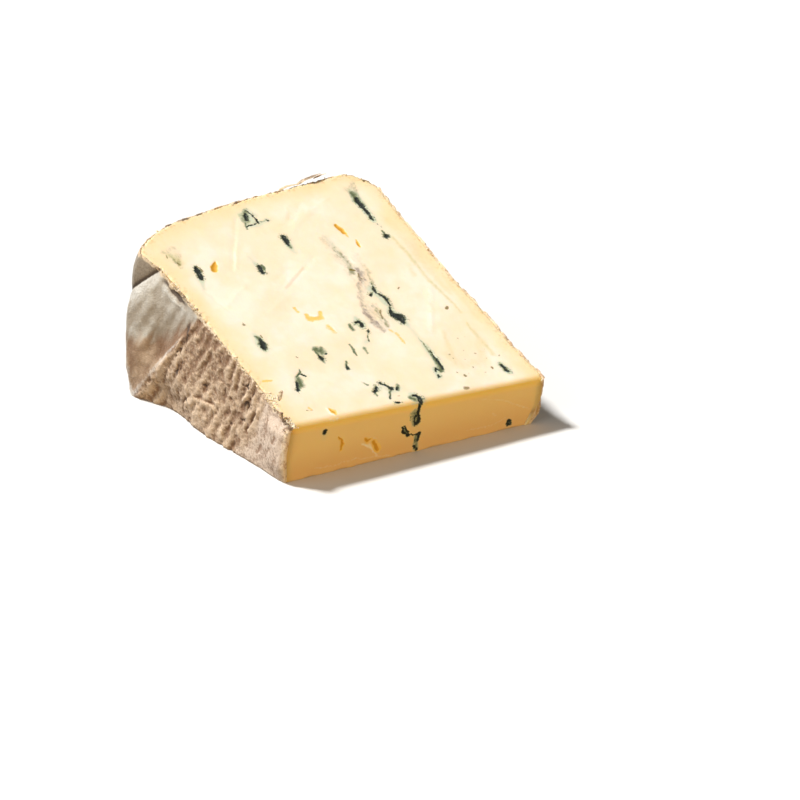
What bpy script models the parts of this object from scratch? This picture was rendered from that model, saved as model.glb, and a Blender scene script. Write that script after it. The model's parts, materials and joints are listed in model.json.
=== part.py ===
"""A wedge of soft blue cheese with a mould-grown rind, as one closed solid.

The wedge is a sixteenth of a low drum-shaped wheel. It lies on one of its two
radial cuts, with the other radial cut sloping up from the trimmed nose to the
rim. X runs along the wheel's axis, from the left flat face to the right one.
Y runs from the nose to the rim, and Z is up. The origin is the middle of the
bounding box's underside.

The solid is a stack of closed rings. Each ring is the wedge's outline in a
half-plane through the wheel's axis: up the left flat face, round a shoulder,
along the rim, round the other shoulder, down the right flat face and back
along the nose cut. Rings turn about the axis from the lower cut to the upper
one, and a flat cap closes each end.
"""

import bpy
import numpy as np

MM = 0.001

# The wheel, in millimetres and degrees.
WHEEL_HEIGHT = 71.1
WHEEL_RADIUS = 116.0
RIM_CROWN = 0.9
RIM_CROWN_PLACE = 0.62
CUTS_IN_WHEEL = 16
WEDGE_ANGLE = np.radians(360.0 / CUTS_IN_WHEEL)

# The nose cut: its distance from the axis at the foot of the left corner, its
# turn away from the axis, and its lean, square to the wedge's middle plane.
NOSE_DISTANCE = 41.0
NOSE_SKEW = np.radians(6.2)
NOSE_LEAN = WEDGE_ANGLE / 2

# Shoulders between flat face and rim: width along the axis, depth along the
# radius, and the power of the rounding (2 is an ellipse, 1 a chamfer).
LEFT_SHOULDER = (15.0, 8.6)
RIGHT_SHOULDER = (6.3, 8.2)
SHOULDER_POWER = 1.6

# The left rind's long ridge and its crease: the ends of each, as distance from
# the axis and height.
RIDGE_LINE = ((79.9, 28.4), (105.9, 0.6))
CREASE_LINE = ((91.4, 40.0), (107.4, 27.5))

# Softness of the cut edges.
CUT_EDGE_RADIUS = 0.7

# Numbers of steps.
FLANK_STEPS = 48
SHOULDER_STEPS = 9
RIM_STEPS = 16
NOSE_STEPS = 18
TURN_STEPS = 16
EDGE_STEPS = 2

RIND_COLOUR = (0.42, 0.36, 0.30, 1.0)
RIND_ROUGHNESS = 0.85


def bump(value, centre, reach):
    """Bell curve: one at the centre, and near nothing twice the reach away."""
    return np.exp(-(((value - centre) / reach) ** 2))


def rise(value, start, end):
    """Smooth step from zero at start to one at end."""
    t = np.clip((value - start) / (end - start), 0.0, 1.0)
    return t * t * (3.0 - 2.0 * t)


def across_line(y, z, start, end):
    """Distance across a straight line, positive above it, and the place along it."""
    along = np.array([end[0] - start[0], end[1] - start[1]])
    length = np.hypot(*along)
    along = along / length
    place = ((y - start[0]) * along[0] + (z - start[1]) * along[1]) / length
    across = (z - start[1]) * along[0] - (y - start[0]) * along[1]
    return across, place


def left_relief(y, z):
    """How far the left rind stands out of its flat plane.

    y is the distance from the axis and z the height. The rind flares at the
    nose, tucks in above the foot, swells to a lip near the rim, carries one
    long slanting ridge with a valley behind it, and has a slanting crease
    under the upper lip. Above the crease the face leans in towards it under
    a brow, and below it stands a rounded lip.
    """
    foot_tuck = 2.6 * bump(y, 92.0, 10.5) * (1.0 - rise(z, 0.0, 13.0))
    rim_lip = 1.8 * rise(y, 94.0 - 0.1 * z, 107.0 - 0.2 * z) * (0.45 + 0.55 * rise(z, 0.0, 8.0))
    flare = (0.5 + 1.1 * rise(z, 0.0, 4.5)) * (1.0 - 0.75 * rise(z, 13.0, 16.5)) * (1.0 - rise(y, 42.0, 53.0))

    from_ridge, on_ridge = across_line(y, z, *RIDGE_LINE)
    reach = rise(on_ridge, -0.1, 0.15) * (1.0 - rise(on_ridge, 1.0, 1.15))
    crest = 0.45 * bump(from_ridge, -0.5, 0.8 + 0.9 * rise(on_ridge, 0.2, 0.8))
    ridge = (crest - 0.5 * bump(from_ridge, 3.4, 2.8)) * reach

    from_crease, on_crease = across_line(y, z, *CREASE_LINE)
    along = rise(on_crease, -0.15, 0.3)
    facet = -(0.2 + 0.9 * np.exp(-np.maximum(from_crease, 0.0) / 1.1)) * (from_crease > 0.0)
    lip_reach = 0.45 + 1.0 * rise(y, 101.0, 107.0)
    lip = -1.1 * np.exp(np.minimum(from_crease, 0.0) / lip_reach) * (from_crease <= 0.0)
    pillow = 0.55 * bump(from_crease, -4.5, 5.0) * rise(on_ridge, -0.4, 0.2)
    brow = 1.4 * bump(from_crease, 6.0, 4.5) * rise(y, 97.0, 105.0)

    swell = 0.25 * np.sin(y / 6.3 + 0.8) * np.sin(z / 7.1 + 0.3) * rise(y, 44.0, 52.0)
    return rim_lip + flare + ridge + (facet + lip + pillow) * along + brow + swell - foot_tuck


def right_relief(y, z):
    """How far the right rind stands out of its flat plane: a lip, low swells and a soft nose corner."""
    rim_lip = 1.0 * rise(y, 84.0, 103.0) * (0.6 + 0.4 * rise(z, 0.0, 9.0))
    foot_tuck = 0.9 * bump(y, 78.0, 14.0) * (1.0 - rise(z, 0.0, 10.0))
    swell = 0.35 * np.sin(y / 5.7 + 2.1) * np.cos(z / 8.3) * rise(y, 40.0, 50.0)
    corner = (0.9 - 2.6 * (1.0 - rise(z, -1.0, 3.5))) * bump(y, 33.0, 6.0)
    return rim_lip + swell + corner - foot_tuck


def rim_radius(x, angle):
    """Radius of the rim: a low crown across its width, with slow waves."""
    across = x / WHEEL_HEIGHT - RIM_CROWN_PLACE
    waves = 0.22 * np.sin(x / 5.2 + 9.0 * angle) + 0.18 * np.sin(x / 9.1 - 14.0 * angle)
    return WHEEL_RADIUS + RIM_CROWN * (1.0 - (2.0 * across) ** 2) - 0.5 + waves


def nose_radius(x, angle):
    """Distance from the axis to the nose cut, along a half-plane at the angle."""
    across = NOSE_DISTANCE * np.cos(NOSE_SKEW) - x * np.sin(NOSE_SKEW)
    slant = np.cos(angle) * np.cos(NOSE_SKEW) + np.tan(NOSE_LEAN) * np.sin(angle)
    return across / slant


def shoulder(width, depth):
    """Rounded corner from the flat face to the rim, as steps in x and in radius."""
    turn = np.linspace(0.0, np.pi / 2, SHOULDER_STEPS + 2)[1:-1]
    inwards = width * (1.0 - np.cos(turn) ** (2.0 / SHOULDER_POWER))
    outwards = depth * np.sin(turn) ** (2.0 / SHOULDER_POWER)
    return inwards, outwards, np.cos(turn) ** 2


def outline(angle_of):
    """One ring: x and radius of each point, and its angle about the axis.

    angle_of gives the angle for an array of radii, so that a ring can keep
    an even distance from a cut instead of an even angle.
    """
    left_x, left_y = LEFT_SHOULDER
    right_x, right_y = RIGHT_SHOULDER
    middle = 0.5 * float(angle_of(np.array([WHEEL_RADIUS]))[0])

    ends = []
    for x, depth, relief in ((0.0, left_y, left_relief), (WHEEL_HEIGHT, right_y, right_relief)):
        start = nose_radius(x, angle_of(np.array([NOSE_DISTANCE]))[0])
        top = WHEEL_RADIUS - depth
        radius = start + (top - start) * np.linspace(0.0, 1.0, FLANK_STEPS)
        angle = angle_of(radius)
        side = -1.0 if x == 0.0 else 1.0
        out = relief(radius * np.cos(angle), radius * np.sin(angle))
        ends.append((x + side * out, radius))

    corners = []
    for x, (width, depth), relief in (
        (0.0, LEFT_SHOULDER, left_relief),
        (WHEEL_HEIGHT, RIGHT_SHOULDER, right_relief),
    ):
        inwards, outwards, share = shoulder(width, depth)
        side = -1.0 if x == 0.0 else 1.0
        rim = rim_radius(x - side * width, middle)
        radius = WHEEL_RADIUS - depth + outwards * (rim - WHEEL_RADIUS + depth) / depth
        angle = angle_of(radius)
        out = relief(radius * np.cos(angle), radius * np.sin(angle)) * share
        corners.append((x - side * inwards + side * out, radius))

    rim_x = np.linspace(left_x, WHEEL_HEIGHT - right_x, RIM_STEPS)
    rim_r = rim_radius(rim_x, middle)

    nose_x = np.linspace(ends[1][0][0], ends[0][0][0], NOSE_STEPS + 2)[1:-1]
    nose_r = nose_radius(nose_x, angle_of(np.full(NOSE_STEPS, NOSE_DISTANCE)))

    x = np.concatenate([ends[0][0], corners[0][0], rim_x, corners[1][0][::-1], ends[1][0][::-1], nose_x])
    r = np.concatenate([ends[0][1], corners[0][1], rim_r, corners[1][1][::-1], ends[1][1][::-1], nose_r])
    return x, r, angle_of(r)


def inset(x, r, distance):
    """Move a closed outline inwards, each point along its own normal."""
    along_x = np.roll(x, -1) - np.roll(x, 1)
    along_r = np.roll(r, -1) - np.roll(r, 1)
    length = np.hypot(along_x, along_r)
    return x + distance * along_r / length, r - distance * along_x / length


def ring_stations():
    """Each ring's place: its distance off the lower cut, off the upper one, or its share of the turn."""
    stations = []
    quarter = np.linspace(0.0, np.pi / 2, EDGE_STEPS + 1)
    for turn in quarter:
        stations.append(("lower", CUT_EDGE_RADIUS * (1.0 - np.cos(turn)), CUT_EDGE_RADIUS * (1.0 - np.sin(turn))))
    for share in np.linspace(0.0, 1.0, TURN_STEPS)[1:-1]:
        stations.append(("between", share, 0.0))
    for turn in quarter[::-1]:
        stations.append(("upper", CUT_EDGE_RADIUS * (1.0 - np.cos(turn)), CUT_EDGE_RADIUS * (1.0 - np.sin(turn))))
    return stations


def ring_points(kind, amount, inwards):
    """Points of one ring, in millimetres about the wheel's axis."""

    def angle_of(radius):
        edge = np.arcsin(CUT_EDGE_RADIUS / radius)
        if kind == "lower":
            return np.arcsin(amount / radius)
        if kind == "upper":
            return WEDGE_ANGLE - np.arcsin(amount / radius)
        return edge + amount * (WEDGE_ANGLE - 2.0 * edge)

    x, r, angle = outline(angle_of)
    if inwards > 0.0:
        x, r = inset(x, r, inwards)
        angle = angle_of(r)
    return np.column_stack([x, r * np.cos(angle), r * np.sin(angle)])


def wedge_mesh():
    """The closed mesh: rings joined by quads, a flat cap at each end."""
    rings = [ring_points(*station) for station in ring_stations()]
    count = len(rings[0])
    points = np.concatenate(rings)
    lowest, highest = points.min(axis=0), points.max(axis=0)
    centre = np.array([(lowest[0] + highest[0]) / 2, (lowest[1] + highest[1]) / 2, 0.0])
    points = (points - centre) * MM

    faces = [tuple(range(count))]
    for level in range(len(rings) - 1):
        for step in range(count):
            following = (step + 1) % count
            low, high = level * count, (level + 1) * count
            faces.append((low + step, high + step, high + following, low + following))
    faces.append(tuple(range((len(rings) - 1) * count, len(rings) * count))[::-1])

    mesh = bpy.data.meshes.new("blue_cheese_wedge")
    mesh.from_pydata(points.tolist(), [], faces)
    mesh.validate()
    return mesh


def rind_material():
    """Grey-white mould-grown rind, the colour that covers most of the outside."""
    material = bpy.data.materials.new("rind")
    material.use_nodes = True
    shader = material.node_tree.nodes["Principled BSDF"]
    shader.inputs["Base Color"].default_value = RIND_COLOUR
    shader.inputs["Roughness"].default_value = RIND_ROUGHNESS
    shader.inputs["Metallic"].default_value = 0.0
    return material


def build():
    """Empty the scene and add the wedge."""
    for old in list(bpy.data.objects):
        bpy.data.objects.remove(old, do_unlink=True)
    mesh = wedge_mesh()
    mesh.materials.append(rind_material())
    wedge = bpy.data.objects.new("blue_cheese_wedge", mesh)
    bpy.context.collection.objects.link(wedge)
    mesh.shade_smooth()
    mesh.set_sharp_from_angle(angle=np.radians(35.0))
    return wedge


build()
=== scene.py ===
"""The looks of a wedge of soft blue cheese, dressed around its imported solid.

The wedge is a sixteenth of a low drum-shaped wheel. It lies on one radial cut, and the other cut slopes
up from the trimmed nose to the rim. Two closed bodies make it: the paste, with its veins, holes and
knife marks, and the mould-grown rind that wraps both flat faces and the rim. Crumbs and torn flakes of
rind lie along the cut lines.

Shapes are worked out in millimetres about the wheel's axis: x runs along the axis from the left flat
face, y runs from the axis to the rim at the level of the lower cut, and z is up.
"""

import itertools
import json
import logging
import math
from dataclasses import dataclass, field
from enum import Enum

import bpy
import numpy as np
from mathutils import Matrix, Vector

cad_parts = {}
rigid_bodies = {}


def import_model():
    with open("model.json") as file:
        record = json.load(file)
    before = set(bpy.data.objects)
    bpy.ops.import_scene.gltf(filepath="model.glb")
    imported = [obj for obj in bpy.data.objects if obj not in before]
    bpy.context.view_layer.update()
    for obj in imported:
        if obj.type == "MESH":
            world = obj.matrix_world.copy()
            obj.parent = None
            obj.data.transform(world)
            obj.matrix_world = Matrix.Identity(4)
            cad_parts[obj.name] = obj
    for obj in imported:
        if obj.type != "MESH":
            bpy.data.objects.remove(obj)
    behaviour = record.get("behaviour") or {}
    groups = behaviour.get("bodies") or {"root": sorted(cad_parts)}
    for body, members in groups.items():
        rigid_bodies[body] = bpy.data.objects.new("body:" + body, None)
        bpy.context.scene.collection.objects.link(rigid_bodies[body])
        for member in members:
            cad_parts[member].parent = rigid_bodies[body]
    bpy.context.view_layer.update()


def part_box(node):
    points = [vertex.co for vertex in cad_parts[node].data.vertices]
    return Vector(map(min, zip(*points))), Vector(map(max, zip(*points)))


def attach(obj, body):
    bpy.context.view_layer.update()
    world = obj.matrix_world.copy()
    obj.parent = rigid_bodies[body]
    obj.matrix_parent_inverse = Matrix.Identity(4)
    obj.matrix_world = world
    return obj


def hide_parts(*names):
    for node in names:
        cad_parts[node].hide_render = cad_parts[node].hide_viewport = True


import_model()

NODE = "blue_cheese_wedge"
BODY = "root"
MM = 0.001
Array = np.ndarray

log = logging.getLogger(NODE)


def bump(value: Array, centre: float, reach: float) -> Array:
    """Bell curve: one at the centre, and near nothing twice the reach away."""
    return np.exp(-(((value - centre) / reach) ** 2))


def rise(value: Array, start: float, end: float) -> Array:
    """Smooth step: zero at start, one at end."""
    t = np.clip((value - start) / (end - start), 0.0, 1.0)
    return t * t * (3.0 - 2.0 * t)


def across_line(y: Array, z: Array, start: tuple, end: tuple) -> tuple[Array, Array]:
    """Place of points against a straight line in the plane of a flat face.

    Args:
        y: Distance of each point from the axis, in mm.
        z: Height of each point, in mm.
        start: The line's first end, as (y, z).
        end: The line's other end.

    Returns:
        The distance across the line, positive above it, and the share of the way along it.
    """
    along = np.subtract(end, start)
    length = np.hypot(*along)
    along = along / length
    share = ((y - start[0]) * along[0] + (z - start[1]) * along[1]) / length
    return (z - start[1]) * along[0] - (y - start[0]) * along[1], share


def hashed(cells: Array, seed: int) -> Array:
    """A fixed number from 0 to 1 for each cell of a cubic lattice, the same on every run.

    Args:
        cells: Whole numbers of the cells, shape (..., 3).
        seed: Which set of numbers.

    Returns:
        The numbers: the cell's three whole numbers and the seed, mixed by products and shifts.
    """
    mask = np.uint64(0xFFFFFFFF)
    x, y, z = (cells[..., axis].astype(np.int64).astype(np.uint64) & mask for axis in range(3))
    mixed = (x * np.uint64(374761393) + y * np.uint64(668265263) + z * np.uint64(2246822519)) & mask
    mixed = (mixed + np.uint64(seed) * np.uint64(3266489917)) & mask
    for _ in range(2):
        mixed = ((mixed ^ (mixed >> np.uint64(15))) * np.uint64(2654435761)) & mask
        mixed = ((mixed ^ (mixed >> np.uint64(13))) * np.uint64(1274126177)) & mask
    return (mixed ^ (mixed >> np.uint64(16))).astype(float) / float(mask)


def lumps(points: Array, cell: float | tuple, seed: int, layers: int = 1) -> Array:
    """Smooth noise from -1 to 1.

    Each layer holds a random number at every corner of a cubic lattice, blended between corners by
    smooth steps; each further layer has half the cell and half the height.

    Args:
        points: Places, shape (..., 3), in mm.
        cell: The first layer's cell, one size or one for each axis, in mm.
        seed: Which noise.
        layers: How many layers.

    Returns:
        The noise at each place.
    """
    total = np.zeros(points.shape[:-1])
    for layer in range(layers):
        scaled = points / (np.asarray(cell) * 0.5**layer) + 17.31 * layer
        base = np.floor(scaled)
        part = scaled - base
        part = part * part * (3.0 - 2.0 * part)
        value = np.zeros(points.shape[:-1])
        for corner in itertools.product((0, 1), repeat=3):
            weight = np.prod(np.where(np.array(corner) == 1, part, 1.0 - part), axis=-1)
            value += weight * hashed(base + np.array(corner), seed + 31 * layer)
        total += (2.0 * value - 1.0) * 0.5**layer
    return total


def around(x: Array, r: Array, angle: Array | float) -> Array:
    """Points in space at x along the axis and radius r, turned up about the axis by an angle."""
    return np.stack([x, r * np.cos(angle), r * np.sin(angle)], axis=-1)


def trail(x: Array, r: Array) -> Array:
    """Length of a polyline up to each of its points."""
    return np.concatenate([[0.0], np.cumsum(np.hypot(np.diff(x), np.diff(r)))])


def resampled(x: Array, r: Array, shares: Array) -> Array:
    """Points of a polyline at the given shares of its length."""
    steps = trail(x, r)
    return np.stack([np.interp(shares * steps[-1], steps, line) for line in (x, r)], axis=-1)


def inset(x: Array, r: Array, distance: Array | float) -> tuple[Array, Array]:
    """Outlines, which run along the last axis, moved inwards along their own normals."""
    along_x, along_r = (np.gradient(line, axis=-1) for line in (x, r))
    pace = distance / np.hypot(along_x, along_r)
    return x + pace * along_r, r - pace * along_x


def nearest(points: Array, samples: Array) -> Array:
    """Distance from each point to the nearest of a few hundred sample points.

    Args:
        points: Points, shape (count, 3).
        samples: The sample points, shape (few, 3).

    Returns:
        The distances, shape (count,).
    """
    best = np.full(len(points), np.inf)
    for sample in samples:
        best = np.minimum(best, ((points - sample) ** 2).sum(axis=1))
    return np.sqrt(best)


@dataclass(frozen=True)
class Wedge:
    """The form of the wedge, in millimetres and radians about the wheel's axis.

    The outline in a half-plane through the axis runs up the left flat face from the nose cut, round
    the left shoulder, along the rim, round the right shoulder and down the right flat face.
    """

    height: float = 71.1
    radius: float = 116.0
    crown: float = 0.9
    crown_place: float = 0.62
    angle: float = math.radians(360.0 / 16)
    nose_distance: float = 41.0
    nose_skew: float = math.radians(6.2)
    nose_lean: float = math.radians(360.0 / 32)
    left_shoulder: tuple[float, float] = (15.0, 8.6)
    right_shoulder: tuple[float, float] = (6.3, 8.2)
    shoulder_power: float = 1.6
    ridge_line: tuple = ((79.9, 28.4), (105.9, 0.6))
    crease_line: tuple = ((91.4, 40.0), (107.4, 27.5))

    def nose_radius(self, x: Array, angle: Array) -> Array:
        """Distance from the axis to the nose cut, along the half-plane at an angle."""
        across = self.nose_distance * math.cos(self.nose_skew) - x * math.sin(self.nose_skew)
        return across / (np.cos(angle) * math.cos(self.nose_skew) + math.tan(self.nose_lean) * np.sin(angle))

    def rim_radius(self, x: Array, angle: Array) -> Array:
        """Radius of the rim: a low crown across its width, with slow waves."""
        across = x / self.height - self.crown_place
        waves = 0.22 * np.sin(x / 5.2 + 9.0 * angle) + 0.18 * np.sin(x / 9.1 - 14.0 * angle)
        return self.radius + self.crown * (1.0 - (2.0 * across) ** 2) - 0.5 + waves

    def left_relief(self, y: Array, z: Array) -> Array:
        """How far the left rind stands out of its flat plane.

        The rind tucks in above the foot, swells to a lip near the rim, carries one long slanting ridge
        with a valley behind it, and has a slanting crease under the upper lip. Above the crease the
        face leans in towards it under a brow, and below it stands a rounded lip. At the nose it flares.

        Args:
            y: Distance from the axis, in mm.
            z: Height, in mm.

        Returns:
            Millimetres outwards.
        """
        foot_tuck = 2.6 * bump(y, 92.0, 10.5) * (1.0 - rise(z, 0.0, 13.0))
        rim_lip = 1.8 * rise(y, 94.0 - 0.1 * z, 107.0 - 0.2 * z) * (0.45 + 0.55 * rise(z, 0.0, 8.0))
        from_ridge, on_ridge = across_line(y, z, *self.ridge_line)
        reach = rise(on_ridge, -0.1, 0.15) * (1.0 - rise(on_ridge, 1.0, 1.15))
        crest = 0.45 * bump(from_ridge, -0.5, 0.8 + 0.9 * rise(on_ridge, 0.2, 0.8))
        ridge = (crest - 0.5 * bump(from_ridge, 3.4, 2.8)) * reach
        from_crease, on_crease = across_line(y, z, *self.crease_line)
        along = rise(on_crease, -0.15, 0.3)
        facet = -(0.2 + 0.9 * np.exp(-np.maximum(from_crease, 0.0) / 1.1)) * (from_crease > 0.0)
        lip_reach = 0.45 + 1.0 * rise(y, 101.0, 107.0)
        lip = -1.1 * np.exp(np.minimum(from_crease, 0.0) / lip_reach) * (from_crease <= 0.0)
        pillow = 0.55 * bump(from_crease, -4.5, 5.0) * rise(on_ridge, -0.4, 0.2)
        brow = 1.4 * bump(from_crease, 6.0, 4.5) * rise(y, 97.0, 105.0)
        flare = (0.5 + 1.1 * rise(z, 0.0, 4.5)) * (1.0 - 0.75 * rise(z, 13.0, 16.5))
        flare = flare * (1.0 - rise(y, 42.0, 53.0))
        swell = 0.25 * np.sin(y / 6.3 + 0.8) * np.sin(z / 7.1 + 0.3) * rise(y, 44.0, 52.0)
        return rim_lip + ridge + (facet + lip + pillow) * along + brow + flare + swell - foot_tuck

    def right_relief(self, y: Array, z: Array) -> Array:
        """How far the right rind stands out of its flat plane: a lip, low swells and a worn nose corner.

        Args:
            y: Distance from the axis, in mm.
            z: Height, in mm.

        Returns:
            Millimetres outwards.
        """
        rim_lip = 1.0 * rise(y, 84.0, 103.0) * (0.6 + 0.4 * rise(z, 0.0, 9.0))
        foot_tuck = 0.9 * bump(y, 78.0, 14.0) * (1.0 - rise(z, 0.0, 10.0))
        swell = 0.35 * np.sin(y / 5.7 + 2.1) * np.cos(z / 8.3) * rise(y, 40.0, 50.0)
        corner = (0.9 - 2.6 * (1.0 - rise(z, -1.0, 3.5))) * bump(y, 33.0, 6.0)
        return rim_lip + swell + corner - foot_tuck

    def side(self, left: bool) -> tuple:
        """Of a flat face: its x, its way out, its shoulder's width and depth, and its relief."""
        if left:
            return 0.0, -1.0, *self.left_shoulder, self.left_relief
        return self.height, 1.0, *self.right_shoulder, self.right_relief

    def flank(self, left: bool, share: Array, angle: Array) -> tuple[Array, Array]:
        """A flat face in the half-plane at an angle.

        Args:
            left: Whether it is the left face.
            share: Share of the way from the nose cut to the shoulder.
            angle: Angle about the axis.

        Returns:
            x and radius.
        """
        x, way, _, depth, relief = self.side(left)
        start = self.nose_radius(x, angle)
        r = start + (self.radius - depth - start) * share
        return x + way * relief(r * np.cos(angle), r * np.sin(angle)), r

    def shoulder(self, left: bool, turn: Array, angle: Array) -> tuple[Array, Array]:
        """A shoulder in the half-plane at an angle, rounder than a circle's quarter.

        Args:
            left: Whether it is the left shoulder.
            turn: 0 at the flat face and a quarter turn at the rim.
            angle: Angle about the axis.

        Returns:
            x and radius.
        """
        x, way, width, depth, relief = self.side(left)
        power = 2.0 / self.shoulder_power
        rim = self.rim_radius(x - way * width, angle / 2)
        r = self.radius - depth + (rim - self.radius + depth) * np.sin(turn) ** power
        out = relief(r * np.cos(angle), r * np.sin(angle)) * np.cos(turn) ** 2
        return x - way * width * (1.0 - np.cos(turn) ** power) + way * out, r

    def outline(self, angle: Array, steps: tuple[int, ...]) -> tuple[Array, Array]:
        """The whole outline at each angle.

        Args:
            angle: Angles about the axis, shape (rows, 1) or (rows, columns).
            steps: Points on the left face, left shoulder, rim, right shoulder and right face.

        Returns:
            x and radius, each of shape (rows, sum of steps).
        """
        edges = np.cumsum((0,) + steps)
        wide = np.broadcast_to(angle, (angle.shape[0], edges[-1]))
        parts = [wide[:, first:last] for first, last in itertools.pairwise(edges)]
        turns = [np.linspace(0.0, math.pi / 2, count + 2)[1:-1] for count in (steps[1], steps[3])]
        rim_x = np.linspace(self.left_shoulder[0], self.height - self.right_shoulder[0], steps[2])
        rim_r = self.rim_radius(rim_x, parts[2] / 2)
        pieces = (
            self.flank(True, np.linspace(0.0, 1.0, steps[0]), parts[0]),
            self.shoulder(True, turns[0], parts[1]),
            (np.broadcast_to(rim_x, rim_r.shape), rim_r),
            self.shoulder(False, turns[1][::-1], parts[3]),
            self.flank(False, np.linspace(1.0, 0.0, steps[4]), parts[4]),
        )
        return tuple(np.concatenate(lines, axis=1) for lines in zip(*pieces))

    def on_cut(self, u: float, v: float) -> tuple[float, float, float]:
        """A point of the upper cut: u from the left face, v from the axis up the slope."""
        return u, v * math.cos(self.angle), v * math.sin(self.angle)

    def on_nose(self, u: float, v: float) -> tuple[float, float, float]:
        """A point of the nose cut: u along its foot from the left corner, v its height."""
        back = v * math.tan(self.nose_lean)
        x = u * math.cos(self.nose_skew) - back * math.sin(self.nose_skew)
        return x, self.nose_distance - u * math.sin(self.nose_skew) - back * math.cos(self.nose_skew), v

    def on_left(self, y: float, z: float) -> tuple[float, float, float]:
        """A point of the plain left face: y from the axis, z its height."""
        return 0.0, y, z

    def cut_normal(self) -> Array:
        """Outward unit normal of the upper cut."""
        return np.array([0.0, -math.sin(self.angle), math.cos(self.angle)])

    def nose_normal(self) -> Array:
        """Outward unit normal of the nose cut."""
        normal = -np.array([math.sin(self.nose_skew), math.cos(self.nose_skew), math.tan(self.nose_lean)])
        return normal / np.linalg.norm(normal)

    def seat(self, box: tuple[Vector, Vector]) -> Array:
        """Where the model's origin lies in wheel millimetres.

        The rim's furthest point at the lower cut meets the far side of the solid's box, and the furthest
        swell of the right rind meets its right side.

        Args:
            box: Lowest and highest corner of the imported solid, in metres.

        Returns:
            The origin as (x, y, z) in mm.
        """
        rim_x = np.linspace(self.left_shoulder[0], self.height - self.right_shoulder[0], 16)
        shares, angles = np.meshgrid(np.linspace(0.0, 1.0, 120), np.linspace(0.0, self.angle, 60))
        right = self.flank(False, shares, angles)[0].max()
        return np.array([right - box[1].x / MM, self.rim_radius(rim_x, 0.0).max() - box[1].y / MM, 0.0])


@dataclass
class Patch:
    """A grid of vertex numbers with each one's place on the piece's flat map."""

    ids: Array
    flat: Array | None = None


def cells(grid: Array) -> Array:
    """The four corners of each cell of a grid, wound from its first axis to its second."""
    return np.stack([grid[:-1, :-1], grid[1:, :-1], grid[1:, 1:], grid[:-1, 1:]], axis=2)


def flat_grid(up: Array, across: Array, low: tuple, high: tuple) -> Array:
    """Places on the flat map for a grid that fills a rectangle.

    Args:
        up: Share of the rectangle's height for each step of the grid's first axis.
        across: Share of its width for each step of the second axis.
        low: The rectangle's corner where both shares are 0, as (across, up).
        high: Its opposite corner.

    Returns:
        Places of shape (len(up), len(across), 2).
    """
    heights, widths = np.meshgrid(up, across, indexing="ij")
    return np.stack([low[0] + (high[0] - low[0]) * widths, low[1] + (high[1] - low[1]) * heights], axis=-1)


@dataclass
class Piece:
    """One finished mesh: its points in millimetres, faces, flat map and the numbers its finish reads."""

    name: str
    points: Array
    patches: list[Patch]
    caps: list[Array]
    marks: dict[str, Array]
    cap_flat: list[Array] = field(default_factory=list)
    sharp_angle: float = math.radians(60.0)

    def make(self, seat: Array) -> bpy.types.Object:
        """Puts the mesh into the scene, in metres about the model's origin.

        Args:
            seat: The model's origin in wheel millimetres.

        Returns:
            The new object, at the origin, with its place in its mesh.
        """
        faces = [face for patch in self.patches for face in cells(patch.ids).reshape(-1, 4).tolist()]
        faces += [cap.tolist() for cap in self.caps]
        mesh = bpy.data.meshes.new(self.name)
        mesh.from_pydata(((self.points - seat) * MM).tolist(), [], faces)
        if self.cap_flat:
            flat = [cells(patch.flat).reshape(-1, 2) for patch in self.patches] + self.cap_flat
            layer = mesh.uv_layers.new(name="OFBake")
            layer.data.foreach_set("uv", np.concatenate(flat).astype(np.float32).ravel())
        for name, values in self.marks.items():
            mark = mesh.attributes.new(name, "FLOAT", "POINT")
            mark.data.foreach_set("value", values.astype(np.float32))
        mesh.validate()
        mesh.shade_smooth()
        mesh.set_sharp_from_angle(angle=self.sharp_angle)
        thing = bpy.data.objects.new(self.name, mesh)
        bpy.context.scene.collection.objects.link(thing)
        log.info("%s: %d points, %d faces", self.name, len(self.points), len(faces))
        return thing


class Face(Enum):
    """The faces that carry marks."""

    CUT = "upper cut"
    NOSE = "nose cut"
    LEFT = "left rind"


class Mark(Enum):
    """What a mark is: all but furrows are on the paste."""

    VEIN = "vein"
    GREEN = "green"
    HAZE = "haze"
    SMEAR = "smear"
    LILAC = "lilac"
    TINT = "tint"
    AMBER = "amber"
    # Amber holes, whose gold carries painted shade and glow.
    SPECK = "speck"
    PALE = "pale"
    SCORE = "score"
    FURROW = "furrow"


CRISP = (Mark.VEIN, Mark.GREEN, Mark.AMBER, Mark.SPECK)
EITHER_WAY = (Mark.SCORE, Mark.FURROW)

# Each stroke is (strength, stop, stop ...), and each stop is (u, v, width) in mm on the mark's face.
CAVITY_RING = {
    Mark.VEIN: [
        (0.9, (31.6, 109.4, 1), (32, 110.6, 1.5), (32.5, 111.6, 0.8)),
        (0.85, (33.2, 112.6, 0.4), (33.9, 110.4, 0.4), (34.1, 108.8, 0.6), (33.6, 107.5, 0.6)),
        (0.8, (33.6, 107.5, 0.5), (32.2, 107.2, 0.45), (31, 107.4, 0.5), (30.1, 107.2, 0.5)),
        (0.8, (36.5, 107.3, 0.7)),
    ],
    Mark.GREEN: [
        (0.35, (31, 109.2, 2), (31.8, 110.8, 2.4), (32.9, 112.4, 1.4)),
        (0.7, (30.4, 108.6, 0.5), (29.6, 106.2, 0.7)), (0.5, (34.4, 107.6, 0.5), (36.3, 107.4, 0.4)),
    ],
    Mark.PALE: [(0.6, (32.7, 108.2, 1.1), (33, 109.8, 0.7))],
    Mark.HAZE: [
        (0.7, (32.4, 108, 1.6), (33, 110.2, 1.2)),
        (0.5, (31, 112, 1.6), (30.6, 108, 1.8), (33, 106.6, 1.6), (36.6, 107.6, 1)),
        (0.4, (34.8, 110, 1), (33.4, 113.2, 1)),
    ],
}
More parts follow.
